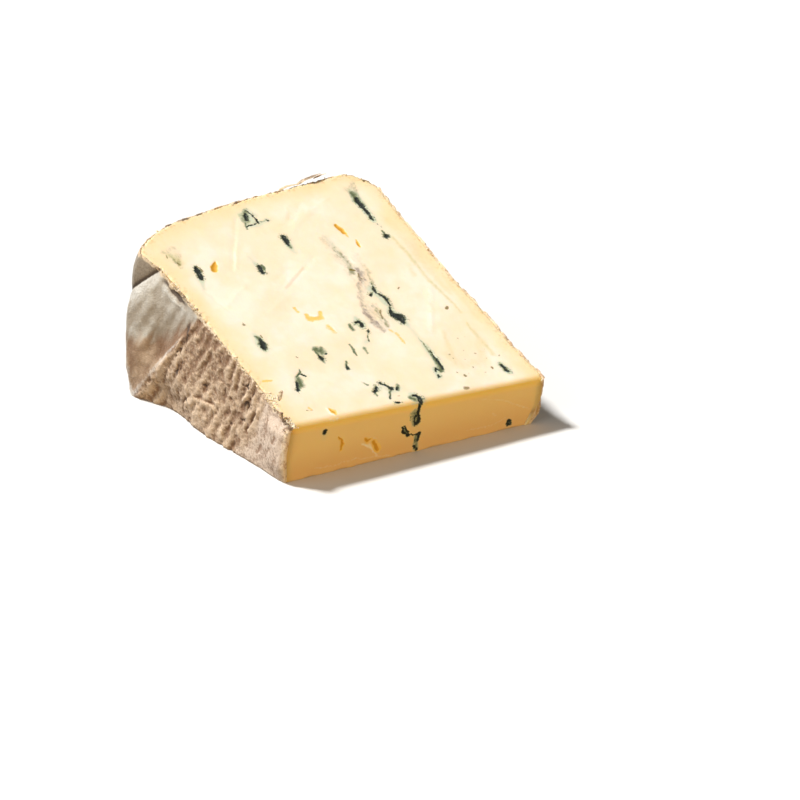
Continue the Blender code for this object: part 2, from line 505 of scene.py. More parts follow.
UPPER_SPOTS = {
    Mark.VEIN: [
        (1, (36.9, 100.9, 1.3), (36.8, 99.3, 1.5), (36.5, 97.9, 0.9)),
        (1, (24.8, 93.5, 1.1), (24.5, 92.2, 1.3), (24.4, 91.1, 1.1)),
        (1, (9.1, 98.6, 1), (8.7, 97.2, 1.6), (8.1, 94.8, 1.1)),
    ],
    Mark.GREEN: [(0.8, (36.6, 98.4, 1.2), (36.6, 96.6, 1)), (0.9, (25.7, 93.6, 0.8), (25.6, 92.2, 0.9))],
    Mark.HAZE: [
        (0.8, (36.6, 97.4, 1.8), (36.5, 94.6, 0.8)), (0.6, (24.4, 94.6, 0.9), (24.1, 97.3, 0.5)),
        (0.7, (7.6, 93.8, 1.4), (6.8, 91, 0.8)), (0.35, (6.7, 88.8, 0.9), (6.6, 87.6, 0.6)),
    ],
    Mark.SPECK: [
        (0.6, (38, 101, 0.4)), (0.6, (38, 99, 0.5)),
        (0.9, (9.5, 99.1, 0.7), (9.9, 98.2, 0.5), (9.8, 97, 0.7)), (0.5, (3.8, 104, 0.6), (4.1, 105.2, 0.4)),
        (0.5, (5.4, 101.6, 0.6), (5.8, 100.8, 0.5)),
    ],
    Mark.SMEAR: [
        (0.8, (5, 103, 1), (5.6, 101.6, 1.6), (5.4, 100.2, 1.2)),
        (0.5, (3.8, 106.4, 1), (5.2, 106, 1.2), (7.4, 106.6, 0.8)),
        (0.45, (7.8, 105.4, 0.7), (7, 103.2, 0.9)), (0.4, (5.6, 104, 4.4)),
    ],
}
RIGHT_VEIN = {
    Mark.VEIN: [
        (1, (63.7, 107, 1), (63.3, 105.6, 1.4), (63.2, 103.4, 1.4), (63.4, 101.2, 0.9)),
        (0.9, (63.4, 101.2, 0.9), (63.2, 99.8, 0.9), (63.1, 98.4, 0.9)), (0.8, (64.1, 99, 0.4)),
        (0.8, (63.3, 96.5, 0.4)), (0.7, (63.6, 95.2, 0.4)), (1, (63.2, 92.2, 1.3), (62.9, 91.7, 1.5)),
    ],
    Mark.GREEN: [
        (0.7, (63.7, 108.8, 1.9), (63.5, 106.4, 2.4), (63.4, 104, 1.6)),
        (0.8, (63.1, 93.8, 0.8), (63.1, 93, 1)),
    ],
    Mark.HAZE: [(0.8, (63.8, 109.6, 2.2), (63.6, 106.5, 2.8), (63.3, 102, 1.8), (63.1, 98, 1.2))],
    Mark.SMEAR: [
        (0.6, (64.5, 107, 0.8), (65.1, 109, 0.7), (66.4, 112, 0.4)),
        (0.4, (62.6, 110, 1.4), (64.4, 110.6, 1.4), (67, 112.6, 0.8)),
    ],
    Mark.SPECK: [(1, (69.5, 111.7, 0.9), (69.8, 112.3, 0.8)), (1, (70.3, 113, 0.6))],
    Mark.TINT: [
        (0.5, (66.6, 97, 3), (67, 86, 4.4), (66.2, 78, 3.6), (66.4, 68, 1.6)),
        (0.8, (64.2, 91, 0.8), (64.6, 84, 1.2), (64, 75, 1), (64.8, 67, 0.8), (65, 61, 0.5)),
        (0.5, (62.4, 80.6, 1.6), (61.4, 77, 1.8)), (0.4, (68, 84, 1.2), (68.2, 72, 1.2), (68, 56, 0.8)),
        (0.75, (64.2, 57, 0.6), (64, 50, 1.2), (64.2, 45, 1)),
        (0.5, (52.4, 49.6, 2.6), (54, 44.6, 3.4), (60.4, 44.6, 3.4), (63.4, 50, 2.6)),
        (0.6, (56.6, 56.4, 1), (54.4, 51, 1.4), (53, 46, 1)), (0.7, (4.8, 104.6, 3), (6.4, 101.4, 2.4)),
    ],
}
LONG_SMEAR = {
    Mark.HAZE: [(0.45, (47.6, 96.6, 1.8), (47.5, 92.4, 1.8), (47.3, 88, 1.6), (47, 84.6, 1.2))],
    Mark.SMEAR: [
        (0.42, (46.2, 97, 1.2), (46.8, 93.4, 2.2), (47.4, 90, 2.4)),
        (0.5, (47.4, 90, 2), (47.4, 87, 2.4), (46.6, 84.6, 1.8)),
        (0.85, (46.8, 92.4, 0.8), (47.8, 89.6, 1.1), (47.8, 87, 0.8), (47, 84.6, 0.8)),
        (0.4, (45.4, 90.4, 1), (45.6, 87, 1.4)), (0.9, (46.8, 84.8, 1.2), (46.2, 83, 1.4)),
        (0.3, (45.2, 84, 2), (45.2, 80.6, 1.8)),
        (0.75, (44.6, 71.6, 0.9), (44.7, 69, 1.3), (44.6, 66.4, 1.7), (44.2, 64, 1.4)),
        (0.8, (45, 67.8, 0.7), (44.6, 65.6, 0.9)),
        (0.55, (50.9, 84.2, 0.9), (50.2, 80.5, 1.1), (49.4, 78.4, 0.8)),
        (0.3, (51, 88.4, 1.8), (50.4, 86, 2.2), (49.6, 83, 2)),
    ],
    Mark.LILAC: [
        (1, (48.4, 83.6, 1.2), (48, 81.8, 1.8), (47.2, 80.4, 1.6), (46, 79, 1.4)),
        (0.42, (48.2, 85.6, 1.2), (48.4, 82.6, 3.2), (47.2, 79.2, 3.6), (45.4, 76.6, 3)),
        (0.6, (46.2, 79.2, 1.4), (44.6, 76.8, 1.6), (43.2, 74.4, 1.8), (42.2, 72.4, 1.8)),
        (0.95, (42, 72.6, 1), (41.5, 70, 1.4), (41.4, 66.6, 1.8), (41.8, 62.8, 1.6)),
        (0.5, (42.8, 69.6, 1.4), (42.9, 66, 1.8), (42.6, 63.2, 1.4)),
        (1, (41.8, 64.4, 0.8), (42, 62.4, 0.8)), (0.3, (43.6, 73, 3), (43.2, 67, 4.6), (42.8, 63, 3.4)),
    ],
    Mark.AMBER: [(0.16, (43.6, 62, 1), (44.6, 60, 0.9), (44.4, 56.5, 0.9))],
    Mark.PALE: [
        (0.5, (49, 87.2, 1), (48.6, 85, 1.2), (48.4, 83.4, 0.8)),
        (0.45, (47.2, 79.4, 0.9), (46.4, 77.9, 0.7)),
    ],
    Mark.SPECK: [
        (0.8, (46.6, 84.2, 0.9), (47.4, 83.6, 0.7)),
        (0.6, (47.6, 82.4, 0.6), (47.3, 81.4, 0.6), (47.6, 80.2, 0.4)),
        (0.4, (46.2, 90.4, 0.5), (46.6, 89, 0.5)), (0.4, (45.2, 69, 0.8), (44.2, 66, 0.6)),
    ],
}
MAIN_VEIN = {
    Mark.VEIN: [
        (0.95, (49.2, 78, 0.4), (48.8, 77, 0.6), (48.3, 76, 0.9), (48.3, 74.6, 0.6)),
        (1, (48.3, 74.6, 0.6), (48.9, 73.4, 0.75), (49.4, 72.4, 1), (49.3, 71, 0.65)),
        (1, (49.3, 71, 0.65), (48.8, 69.4, 0.5), (48, 67.8, 0.9), (47.8, 66.6, 1.6)),
        (1, (47.8, 66.6, 1.8), (48.5, 65.4, 2.3), (48.9, 64.2, 2.2), (48.5, 63.2, 1.3)),
        (0.9, (47.4, 67.6, 0.7), (47.3, 66.3, 0.8)), (0.8, (50.2, 64.9, 0.6)),
        (0.9, (46.2, 74.5, 1), (46.7, 74.8, 0.7)),
        (0.8, (49.1, 53.6, 0.15), (49, 50.8, 0.4), (48.9, 48.6, 0.6), (48.5, 45.4, 0.9)),
        (0.8, (47.5, 45.3, 0.5), (46.7, 46.1, 0.6), (46.2, 45.2, 0.6)),
        (0.75, (45.9, 43.4, 0.9), (46.2, 44, 0.6)),
    ],
    Mark.GREEN: [
        (0.8, (46.6, 74.8, 0.7), (47.4, 75.2, 0.6), (48.2, 75.6, 0.5)),
        (1, (48.1, 67.4, 0.7), (48.3, 66.8, 0.6)),
        (0.6, (49, 57, 0.2), (48.9, 53, 0.5), (48.6, 49.6, 1.1), (48.2, 46, 1.7)),
        (0.9, (48.4, 46.4, 1.3), (47.8, 44.8, 1.5)),
    ],
    Mark.HAZE: [
        (0.8, (47.6, 76.6, 1.8), (47.9, 73.4, 1.6), (48, 70.6, 1.2)),
        (0.5, (48, 68.6, 2.4), (48.6, 65.2, 3.2), (49, 62.8, 1.8)),
        (0.6, (49.2, 62, 1.2), (49.1, 57, 1.4), (48.8, 52, 2), (48.2, 46.6, 2.4)),
        (0.7, (46.6, 45.6, 2.2), (46, 43.4, 1.4)),
    ],
}
MIDDLE_FLECKS = {
    Mark.VEIN: [
        (1, (36.7, 67.3, 0.7), (37.6, 67.4, 1.1), (38.1, 66.6, 0.7), (37.6, 65.6, 1)),
        (0.75, (38.6, 64.1, 0.4), (38.1, 63.6, 0.8), (37.7, 63.1, 0.6)), (0.7, (36.1, 60.6, 0.7)),
        (0.8, (25.9, 55.4, 0.35), (25.4, 53.9, 0.8)), (0.95, (21.1, 60.2, 0.9), (21.2, 59.4, 1.4)),
        (0.8, (23.1, 60.6, 0.8)), (0.8, (8.9, 51.9, 1), (9.5, 53, 0.9), (10.2, 54.3, 0.8)),
        (0.7, (12.4, 56.6, 0.4), (13.1, 56.4, 0.6), (13.8, 55.3, 0.5)),
        (1, (10.1, 70.4, 1), (9.8, 69.2, 1.6), (9.3, 67.6, 1.4)),
    ],
    Mark.HAZE: [
        (0.8, (37.7, 69, 1), (37.6, 66.6, 2.2)), (0.45, (35.2, 60.4, 1.6), (33.4, 58, 1.8)),
        (0.7, (9.6, 72.6, 1.4), (9.4, 70.4, 2.4), (9.2, 67, 1.8)),
    ],
    Mark.GREEN: [
        (0.55, (34.9, 67.2, 1), (34.7, 65.4, 1.4)), (0.7, (36.2, 66.6, 0.7), (36.8, 66.9, 0.6)),
        (0.8, (37.7, 63.1, 0.5), (36.8, 61.9, 0.5), (36.1, 60.7, 0.5)),
        (0.45, (33.7, 58.8, 0.9), (33.3, 57, 0.8)),
        (0.7, (30.5, 61.2, 0.6), (30.6, 59.4, 0.9), (30.3, 57.3, 0.7)),
        (0.9, (26.3, 56.4, 0.6), (25.7, 55, 0.8), (25.3, 53.7, 0.9)),
        (0.62, (21.4, 62.8, 2), (22.4, 61.6, 2.6), (23.2, 62.6, 1.2)),
        (0.8, (21, 62.8, 0.8), (21, 60.6, 0.8)), (0.8, (21.1, 58.8, 0.8), (21, 57.6, 0.6)),
        (0.7, (9.4, 52.4, 1.4), (10.6, 53.2, 2), (11.3, 55.4, 1.6)),
        (0.95, (10.9, 55.8, 0.6), (12, 56.4, 0.7), (13.1, 57.2, 0.6), (13.4, 58.2, 0.4)),
        (0.7, (9.4, 71.8, 0.9), (9.8, 70.8, 1.4)),
    ],
    Mark.SPECK: [(0.9, (11.1, 71.8, 0.6), (10.9, 71, 0.7))],
}
FRONT_CLUSTER = {
    Mark.VEIN: [
        (1, (28.6, 45.9, 0.8), (27.8, 45.1, 1), (27.1, 44.6, 0.8)),
        (0.95, (30.2, 46.9, 0.7), (30.9, 45.9, 0.6), (31.6, 44.9, 0.8), (31.9, 43.8, 1)),
        (0.6, (30.2, 42.2, 0.35), (29.6, 41.1, 0.6)), (0.7, (33.4, 43.8, 0.8), (32.9, 43.3, 0.5)),
        (0.85, (29.8, 39.4, 0.6), (30.5, 39.1, 0.7), (31.1, 39.2, 0.5)),
        (1, (35.7, 39.9, 0.7), (36.5, 39.6, 1), (36.8, 38.6, 1.3), (36.4, 37.3, 1.7)),
        (0.95, (63.9, 41.2, 0.8), (64, 40.4, 1)), (0.95, (64.1, 39.4, 1), (64.2, 38.8, 0.9)),
    ],
    Mark.GREEN: [
        (0.6, (27.1, 44.2, 0.6), (26.9, 43.2, 0.7)), (0.55, (26.1, 48.6, 0.5), (26.8, 47.3, 0.8)),
        (0.85, (31.8, 43.9, 0.7), (30.7, 42.9, 0.7), (29.7, 41.2, 0.7)),
        (0.5, (34, 44.6, 1), (33.2, 43, 0.8)), (0.7, (34.6, 39.6, 1.3), (35.3, 38.6, 1.2)),
        (0.7, (63.8, 41.4, 1.1), (64.2, 38.8, 1.2)),
    ],
    Mark.SPECK: [(0.5, (32.2, 41.1, 0.7))],
    Mark.HAZE: [
        (0.4, (29, 45, 2.2), (31.2, 43, 3), (34.6, 43, 2.4), (35.6, 41, 2)),
        (0.6, (35.4, 40.4, 2), (36.4, 38, 3)), (0.7, (63.9, 41.6, 1.4), (64.1, 38.4, 1.6)),
    ],
    Mark.PALE: [(0.5, (29.6, 44.2, 1.6), (30.2, 43.6, 1))],
}
NOSE_VEINS = {
    Mark.VEIN: [
        (1, (35.4, 16, 1.2), (36.2, 14.7, 1.2), (36.3, 13.2, 1), (36, 11.8, 0.8)),
        (0.95, (36, 11.8, 0.7), (36.5, 10.2, 0.8), (36.4, 8.8, 1), (35.6, 7.8, 0.7)),
        (0.8, (35.5, 10.6, 0.6), (35.3, 9.2, 0.5), (35.7, 8.2, 0.6)),
        (0.5, (34.1, 10.6, 0.3), (33.9, 9.8, 0.3)),
        (0.95, (32, 8.2, 0.5), (32.4, 7, 0.7), (33.2, 6, 0.7), (33.9, 5.2, 0.9)),
        (0.85, (32.6, 8.4, 0.5), (33.2, 7.4, 0.5), (34, 6.2, 0.6)),
        (0.85, (34.4, 5.6, 0.4), (35.6, 4.9, 0.5), (36.8, 5.1, 0.7), (37.4, 5.6, 0.5)),
        (0.9, (37.2, 4.8, 0.8), (37.1, 3.4, 0.7), (36.9, 2.6, 0.5)), (0.8, (36.1, 3.4, 0.5)),
        (0.9, (36, 1.8, 0.7), (36.4, 1.2, 0.8)), (0.8, (37, 1, 0.5), (36.9, 0.3, 0.6)),
        (1, (9.85, 12.5, 1.15), (9.85, 12.2, 1.15)), (1, (63.3, 2.5, 1.2), (63.3, 1.5, 1.4)),
    ],
    Mark.HAZE: [(0.9, (34.2, 15.8, 1.2), (35, 14.2, 1.1)), (0.3, (9.9, 12.2, 1.6), (9.9, 10.6, 1.4))],
    Mark.GREEN: [
        (0.5, (34.5, 15.8, 0.8), (35.4, 13.8, 0.8)), (0.45, (35, 11.6, 2.2), (35.6, 8.6, 2)),
        (0.8, (34.1, 10.8, 0.5), (33.9, 9.6, 0.6)), (0.6, (32.6, 7.6, 1.1), (33.6, 6.2, 1)),
        (0.5, (36.4, 4.6, 1.4), (36.6, 1, 1.4)),
    ],
    Mark.AMBER: [
        (0.62, (14, 10, 0.6), (14.7, 8.8, 1.1), (15.1, 7.4, 1.6), (14.9, 5.9, 0.9)),
        (0.55, (21.6, 7.4, 1.4), (22.6, 6.7, 1.7), (23.4, 7, 0.9)),
        (0.62, (24.2, 5.9, 1.7), (25, 4.6, 2.4), (25.6, 3.3, 2.1)),
    ],
    Mark.PALE: [
        (0.3, (15.5, 8.8, 0.3), (15.8, 7.4, 0.4)),
        (0.55, (20.7, 6.1, 0.5), (22.6, 5.3, 0.5), (23.8, 4.5, 0.6), (24.5, 3, 0.5)),
        (0.45, (24.5, 3, 0.4), (25.5, 1.5, 0.5)), (0.35, (23.2, 7.4, 0.3), (24.6, 6.6, 0.4)),
        (0.32, (54, 10.9, 0.2), (61, 9, 0.4), (64, 7.2, 0.4), (68.8, 4.5, 0.3)),
        (0.3, (58.4, 5.6, 1), (59, 5, 0.9)),
        (0.32, (8.4, 2.2, 0.4), (13, 1.7, 0.5), (16, 2, 0.4), (20, 2.1, 0.4)),
        (0.32, (20, 2.1, 0.4), (25, 1.4, 0.5), (29, 0.7, 0.4)),
        (0.3, (51, 2.6, 0.4), (58, 2.2, 0.5), (62, 3.6, 0.4)),
    ],
    Mark.SCORE: [
        (0.8, (61, 9.7, 0.7), (64, 8.4, 0.8), (67, 6.8, 0.6)),
        (0.8, (8, 2.1, 0.7), (12, 1.9, 0.8), (14, 2.5, 0.7), (16.5, 1.9, 0.8)),
        (0.6, (44, 2, 0.8), (50, 1.6, 0.8), (58, 2.6, 0.8)),
    ],
}
HOLES = {
    Mark.AMBER: [
        (1, (13.1, 96.2, 2.2), (13.5, 96.9, 2.2), (14.3, 98, 1.1), (15, 98.9, 0.5)),
        (0.9, (52.6, 99.8, 1.2), (52.8, 98.2, 1.9), (53, 96.6, 1.4)),
        (0.3, (53.1, 96.4, 1), (53.2, 95, 0.7)),
        (0.55, (54.5, 93.2, 0.8), (54.1, 92.2, 1.2), (53.9, 90.7, 0.8)),
        (0.3, (26.2, 74.2, 1.4), (26.2, 72.7, 2.2), (27.8, 72, 1.9), (29.4, 72, 1.6)),
        (0.26, (29.4, 71.8, 1.7), (30.2, 73.8, 1.3)), (0.16, (29.2, 68.6, 1.6), (29.5, 66, 1.3)),
        (0.18, (24.8, 77.2, 1), (25, 75.8, 1.2)),
        (0.5, (12.7, 43.3, 1.2), (13, 42.4, 1.9), (13.2, 41.6, 1.2)),
        (0.34, (8, 45.6, 0.8), (8.2, 44.8, 0.8)), (0.3, (2.4, 57.6, 1.2), (4.4, 57.2, 1)),
    ],
    Mark.PALE: [
        (0.6, (27.4, 73.6, 0.7), (28.6, 73, 0.6)), (0.5, (30.2, 67.6, 0.5), (30.2, 66.2, 0.6)),
        (0.7, (12, 43.6, 0.4), (11.9, 42.4, 0.5), (12.6, 41.4, 0.5)),
        (0.8, (11.4, 39.9, 1.2), (12.8, 40.1, 0.8)),
    ],
}
BROWN_DOTS = {
    Mark.SPECK: [
        (0.8, (54.6, 74.1, 0.6), (55, 74.3, 0.6)), (1, (62.1, 63.5, 0.9), (62.8, 63.9, 0.8)),
        (0.85, (52.5, 41.6, 0.9), (52.7, 41.1, 0.9)), (0.75, (60.9, 41.5, 0.8), (61, 41.1, 0.7)),
        (0.55, (49.9, 37.6, 1.2), (50.5, 37.4, 1.2)), (0.4, (53.3, 49, 0.8)), (0.4, (58.7, 53.3, 0.7)),
        (0.5, (51.2, 43, 0.7)), (0.5, (58.5, 40.5, 0.7)), (0.4, (53.2, 47.6, 0.6)), (0.4, (56, 46.4, 0.6)),
        (0.45, (56.4, 43.2, 0.7)), (0.4, (57.6, 49, 0.6)), (0.4, (59.8, 47.2, 0.7)),
        (0.45, (61.6, 44.8, 0.6)), (0.4, (62.8, 47.6, 0.5)), (0.4, (65.4, 44.4, 0.6)),
        (0.35, (60.8, 53, 0.5)), (0.4, (54, 41.8, 0.5)), (0.4, (8.9, 77, 0.7), (9.3, 76.2, 0.5)),
        (0.5, (7, 45, 0.5), (8.4, 44.6, 0.5)), (0.6, (15.4, 62.2, 0.6), (15.6, 61.8, 0.5)),
        (0.4, (8.6, 76.6, 0.5), (9, 76.2, 0.4)),
    ],
}
KNIFE_MARKS = {
    Mark.SCORE: [
        (0.9, (17.4, 94.6, 0.7), (23, 102.6, 0.9), (29, 110.6, 0.6)),
        (-0.7, (18.6, 94.8, 0.7), (24, 102.4, 0.8)), (0.7, (6.6, 91, 0.5), (7.2, 86, 0.6), (8.4, 82, 0.5)),
        (-0.9, (41.6, 106.6, 0.7), (44.4, 110, 0.8)),
        (0.8, (27.4, 84, 0.7), (34, 88, 0.8), (40.4, 91.4, 0.6)),
        (-0.9, (27, 84.8, 0.8), (31, 87.4, 1), (35, 89.2, 0.8)), (0.6, (26, 87.2, 0.8), (32, 90.6, 0.9)),
        (-0.7, (9, 84, 0.8), (13, 86.4, 1), (17, 88.2, 0.8)),
        (-0.8, (54, 58, 0.8), (57, 62.4, 1), (59.4, 67, 0.8)),
        (-1, (59.4, 67, 1.6), (61, 69.4, 2.2), (62.4, 71, 1.4)),
        (-0.9, (41, 102.2, 1.2), (46, 105.6, 1.6), (52, 107.6, 1.4), (56, 109, 0.9)),
        (0.7, (40.4, 104.4, 1), (44.3, 106.8, 1.4), (48.6, 109.8, 1)),
        (-0.5, (33, 103.4, 1), (37, 104.6, 1.2), (41, 103.4, 0.9)),
        (-0.5, (17.6, 78, 0.9), (22, 80.6, 1), (27, 82, 0.8)),
    ],
    Mark.PALE: [
        (0.4, (60, 67, 1.6), (62, 70.6, 1.8)), (0.35, (43.6, 106.4, 1.4), (45, 107.2, 1.2)),
        (0.35, (55, 60, 0.7), (58.4, 65, 0.8)),
    ],
}
RIND_FURROWS = {
    Mark.FURROW: [
        (0.9, (52.3, 14.4, 0.5), (54.4, 11.2, 0.7), (56.6, 8.2, 0.5)),
        (-0.9, (53.3, 14, 0.4), (55.6, 10.8, 0.6), (57.5, 7.9, 0.4)),
        (0.9, (56.4, 17.6, 0.5), (58.8, 15.6, 0.6), (60.8, 13.2, 0.5)),
        (-0.8, (56.6, 16.2, 0.6), (58.9, 13.8, 1.2), (60.2, 10.8, 1.3), (60, 8.7, 0.7)),
        (0.5, (49.8, 20.2, 1), (52.4, 15.2, 0.9)), (-0.5, (47.2, 14.5, 0.4), (48.7, 9.1, 0.4)),
        (-0.7, (50.8, 6.2, 0.8), (52.8, 4.2, 0.7)), (-0.5, (46, 7.5, 0.8), (48.7, 5.2, 0.8)),
        (-0.6, (43.3, 11.4, 0.6), (44.5, 9.8, 0.6)), (-0.6, (61, 4.2, 1.2), (63.7, 1.4, 1.3)),
        (-1, (70.8, 10, 0.2), (73, 9.9, 0.3), (75.2, 9.9, 0.3)), (-0.5, (75.8, 10, 0.4), (79.2, 9.5, 0.5)),
        (0.9, (71.8, 9.2, 0.5), (75, 9, 0.8), (79.6, 8.4, 0.9)), (0.7, (78, 5.4, 1.2), (80.6, 4.4, 1.4)),
        (0.7, (82, 6.6, 1.2), (84.4, 5.6, 1)), (-0.8, (83.4, 7.4, 0.5), (85.8, 5.2, 0.6)),
        (-0.9, (81.4, 28.2, 0.5), (82, 26.4, 0.6)),
        (-1, (82.6, 26.8, 0.4), (83, 24.6, 0.6), (84.4, 22.4, 0.5)), (-0.7, (82, 25, 0.4), (82.8, 23, 0.5)),
        (-0.9, (64, 14.3, 0.7)), (-0.9, (74.7, 13.4, 0.9), (75.3, 12.4, 0.6)),
        (-0.7, (66.2, 9.4, 0.8), (66.8, 8.6, 0.6)), (-0.8, (85.2, 15.2, 0.6), (85.9, 14, 0.6)),
    ],
}


@dataclass(frozen=True)
class Stroke:
    """One mark: a route on a face, each stop as (u, v, width) in mm, and how strong it is."""

    mark: Mark
    face: Face
    strength: float
    route: list[tuple[float, float, float]]

    def stops(self, wedge: Wedge) -> tuple[Array, Array]:
        """The route's stops in space and the half width at each, a single stop being given twice."""
        place = {Face.CUT: wedge.on_cut, Face.NOSE: wedge.on_nose, Face.LEFT: wedge.on_left}[self.face]
        route = self.route * 2 if len(self.route) == 1 else self.route
        return np.array([place(u, v) for u, v, _ in route]), np.array([width / 2 for _, _, width in route])


TABLES = {
    Face.CUT: (
        CAVITY_RING, UPPER_SPOTS, RIGHT_VEIN, LONG_SMEAR, MAIN_VEIN, MIDDLE_FLECKS, FRONT_CLUSTER, HOLES,
        BROWN_DOTS, KNIFE_MARKS,
    ),
    Face.NOSE: (NOSE_VEINS,),
    Face.LEFT: (RIND_FURROWS,),
}
STROKES = [
    Stroke(mark, face, strength, route)
    for face, tables in TABLES.items()
    for mark, rows in itertools.chain.from_iterable(table.items() for table in tables)
    for strength, *route in rows
]


def marked(points: Array, mark: Mark, wedge: Wedge, reach: float = 3.0, halo: float = 0.0) -> Array:
    """How strongly each point carries one kind of mark.

    Along a crisp stroke the level is its strength on the middle line and falls evenly to nothing at its
    edge and on below nothing outside. Along any other it falls as a bell curve. The highest level of all
    strokes holds, or for scores and furrows the strongest, whether raised or sunk. Places are first
    pushed about by noise, so that edges wander.

    Args:
        points: Places in mm, shape (count, 3).
        mark: The kind of mark.
        wedge: The wedge's form.
        reach: How far outside a stroke's box it still counts, in mm.
        halo: If more than zero, the level is a bell curve this wide, in mm, outside every stroke's edge.

    Returns:
        The level at each point, from -1 to 1.
    """
    wander = np.stack([lumps(points, 1.1, 901 + axis, 3) for axis in range(3)], axis=-1)
    places = points + wander * (0.6 if mark in (Mark.SMEAR, Mark.LILAC) else 0.24)
    crisp = mark in CRISP and halo == 0.0
    outside = -1.0 if crisp else 0.0
    level = np.full(len(points), outside)
    for stroke in (s for s in STROKES if s.mark is mark):
        stops, widths = stroke.stops(wedge)
        near = ((places > stops.min(axis=0) - reach) & (places < stops.max(axis=0) + reach)).all(axis=1)
        near = np.flatnonzero(near)
        best = np.full(len(near), outside)
        for n, along in enumerate(np.diff(stops, axis=0)):
            share = np.clip(((places[near] - stops[n]) @ along) / max(along @ along, 1e-9), 0.0, 1.0)
            distance = np.linalg.norm(places[near] - stops[n] - share[:, None] * along, axis=1)
            width = widths[n] + (widths[n + 1] - widths[n]) * share
            if crisp:
                found = np.clip(1.0 - distance / width, -1.0, 1.0)
            elif halo > 0.0:
                found = bump(np.maximum(distance - width, 0.0), 0.0, halo)
            else:
                found = bump(distance, 0.0, width + 0.25)
            best = np.maximum(best, found)
        value = np.where(best > 0.0, best * stroke.strength, best)
        measure = np.abs if mark in EITHER_WAY else np.asarray
        level[near] = np.where(measure(value) > measure(level[near]), value, level[near])
    return level


def paint(red: int, green: int, blue: int) -> tuple[float, float, float, float]:
    """A colour given as display values from 0 to 255, as the linear colour a shader takes."""
    shares = (red / 255, green / 255, blue / 255)
    return (*(c / 12.92 if c <= 0.04045 else ((c + 0.055) / 1.055) ** 2.4 for c in shares), 1.0)


class Signal:
    """An output of a shader tree, on which arithmetic adds Math nodes."""

    def __init__(self, tree: "ShaderTree", socket: bpy.types.NodeSocket) -> None:
        """Keeps the tree and the socket."""
        self.tree = tree
        self.socket = socket

    def maths(self, operation: str, first: "Signal | float", second: "Signal | float") -> "Signal":
        """A Math node on two values."""
        return self.tree.node("ShaderNodeMath", {"operation": operation}, {0: first, 1: second})

    def __add__(self, other: "Signal | float") -> "Signal":
        """Sum."""
        return self.maths("ADD", self, other)

    __radd__ = __add__

    def __sub__(self, other: "Signal | float") -> "Signal":
        """Difference."""
        return self.maths("SUBTRACT", self, other)

    def __rsub__(self, other: float) -> "Signal":
        """Difference from a number."""
        return self.maths("SUBTRACT", other, self)

    def __mul__(self, other: "Signal | float") -> "Signal":
        """Product."""
        return self.maths("MULTIPLY", self, other)

    __rmul__ = __mul__

    def most(self, other: "Signal | float") -> "Signal":
        """The greater of two values."""
        return self.maths("MAXIMUM", self, other)

    def rise(self, start: float, end: float) -> "Signal":
        """Smooth step: zero at start, one at end."""
        settings = {"interpolation_type": "SMOOTHSTEP"}
        return self.tree.node("ShaderNodeMapRange", settings, {0: self, 1: start, 2: end})


class ShaderTree:
    """The node tree of one material, whose colour is laid on in coats."""

    def __init__(self, name: str, colour: tuple) -> None:
        """Starts an empty material.

        Args:
            name: The material's name.
            colour: Its first coat.
        """
        self.material = bpy.data.materials.new(name)
        self.material.use_nodes = True
        self.material.node_tree.nodes.clear()
        self.place = self.node("ShaderNodeTexCoord", {}, {}, "Object")
        self.colour = colour

    def node(self, kind: str, settings: dict, sockets: dict, output: int | str = 0) -> Signal | None:
        """Adds any node.

        Args:
            kind: The node's type.
            settings: Its properties, set before its sockets.
            sockets: Values or signals for its inputs, by index or name.
            output: Which output to give back.

        Returns:
            That output as a signal, if the node has any.
        """
        tree = self.material.node_tree
        node = tree.nodes.new(kind)
        for name, value in settings.items():
            setattr(node, name, value)
        for name, value in sockets.items():
            if isinstance(value, Signal):
                tree.links.new(value.socket, node.inputs[name])
            else:
                node.inputs[name].default_value = value
        return Signal(self, node.outputs[output]) if node.outputs else None

    def grain(
        self, size: float, seed: float, detail: float = 2.0, roughness: float = 0.5, squash: tuple = (1, 1, 1)
    ) -> Signal:
        """Noise from 0 to 1 on the piece's own coordinates.

        Args:
            size: Width of its patches, in mm.
            seed: Which noise.
            detail: How many finer layers.
            roughness: How strong the finer layers are.
            squash: What each coordinate is multiplied by: less than 1 draws the patches out that way.

        Returns:
            The noise.
        """
        place = self.node("ShaderNodeVectorMath", {"operation": "MULTIPLY"}, {0: self.place, 1: squash})
        sockets = {"Vector": place, "W": seed, "Scale": 1.0 / (size * MM)}
        sockets |= {"Detail": detail, "Roughness": roughness}
        return self.node("ShaderNodeTexNoise", {"noise_dimensions": "4D"}, sockets)

    def mark(self, name: str) -> Signal:
        """A number that the mesh carries at its points."""
        return self.node("ShaderNodeAttribute", {"attribute_name": name}, {}, "Fac")

    def mix(self, under: Signal | tuple, over: Signal | tuple, share: Signal) -> Signal:
        """One colour laid over another."""
        return self.node("ShaderNodeMix", {"data_type": "RGBA"}, {0: share, 6: under, 7: over}, 2)

    def coat(self, colour: Signal | tuple, share: Signal) -> None:
        """Lays one more coat over the material's colour."""
        self.colour = self.mix(self.colour, colour, share)

    def relief(self, height: Signal, depth: float) -> Signal:
        """A normal bent by a height from 0 to 1 that stands for a depth in mm."""
        return self.node("ShaderNodeBump", {}, {"Strength": 1.0, "Distance": depth * MM, "Height": height})

    def finish(self, sockets: dict) -> bpy.types.Material:
        """Closes the tree with a Principled surface.

        Args:
            sockets: Values or signals of the shader's inputs but its colour, by name.

        Returns:
            The finished material.
        """
        surface = self.node("ShaderNodeBsdfPrincipled", {}, {"Base Color": self.colour, **sockets})
        self.node("ShaderNodeOutputMaterial", {}, {"Surface": surface})
        return self.material


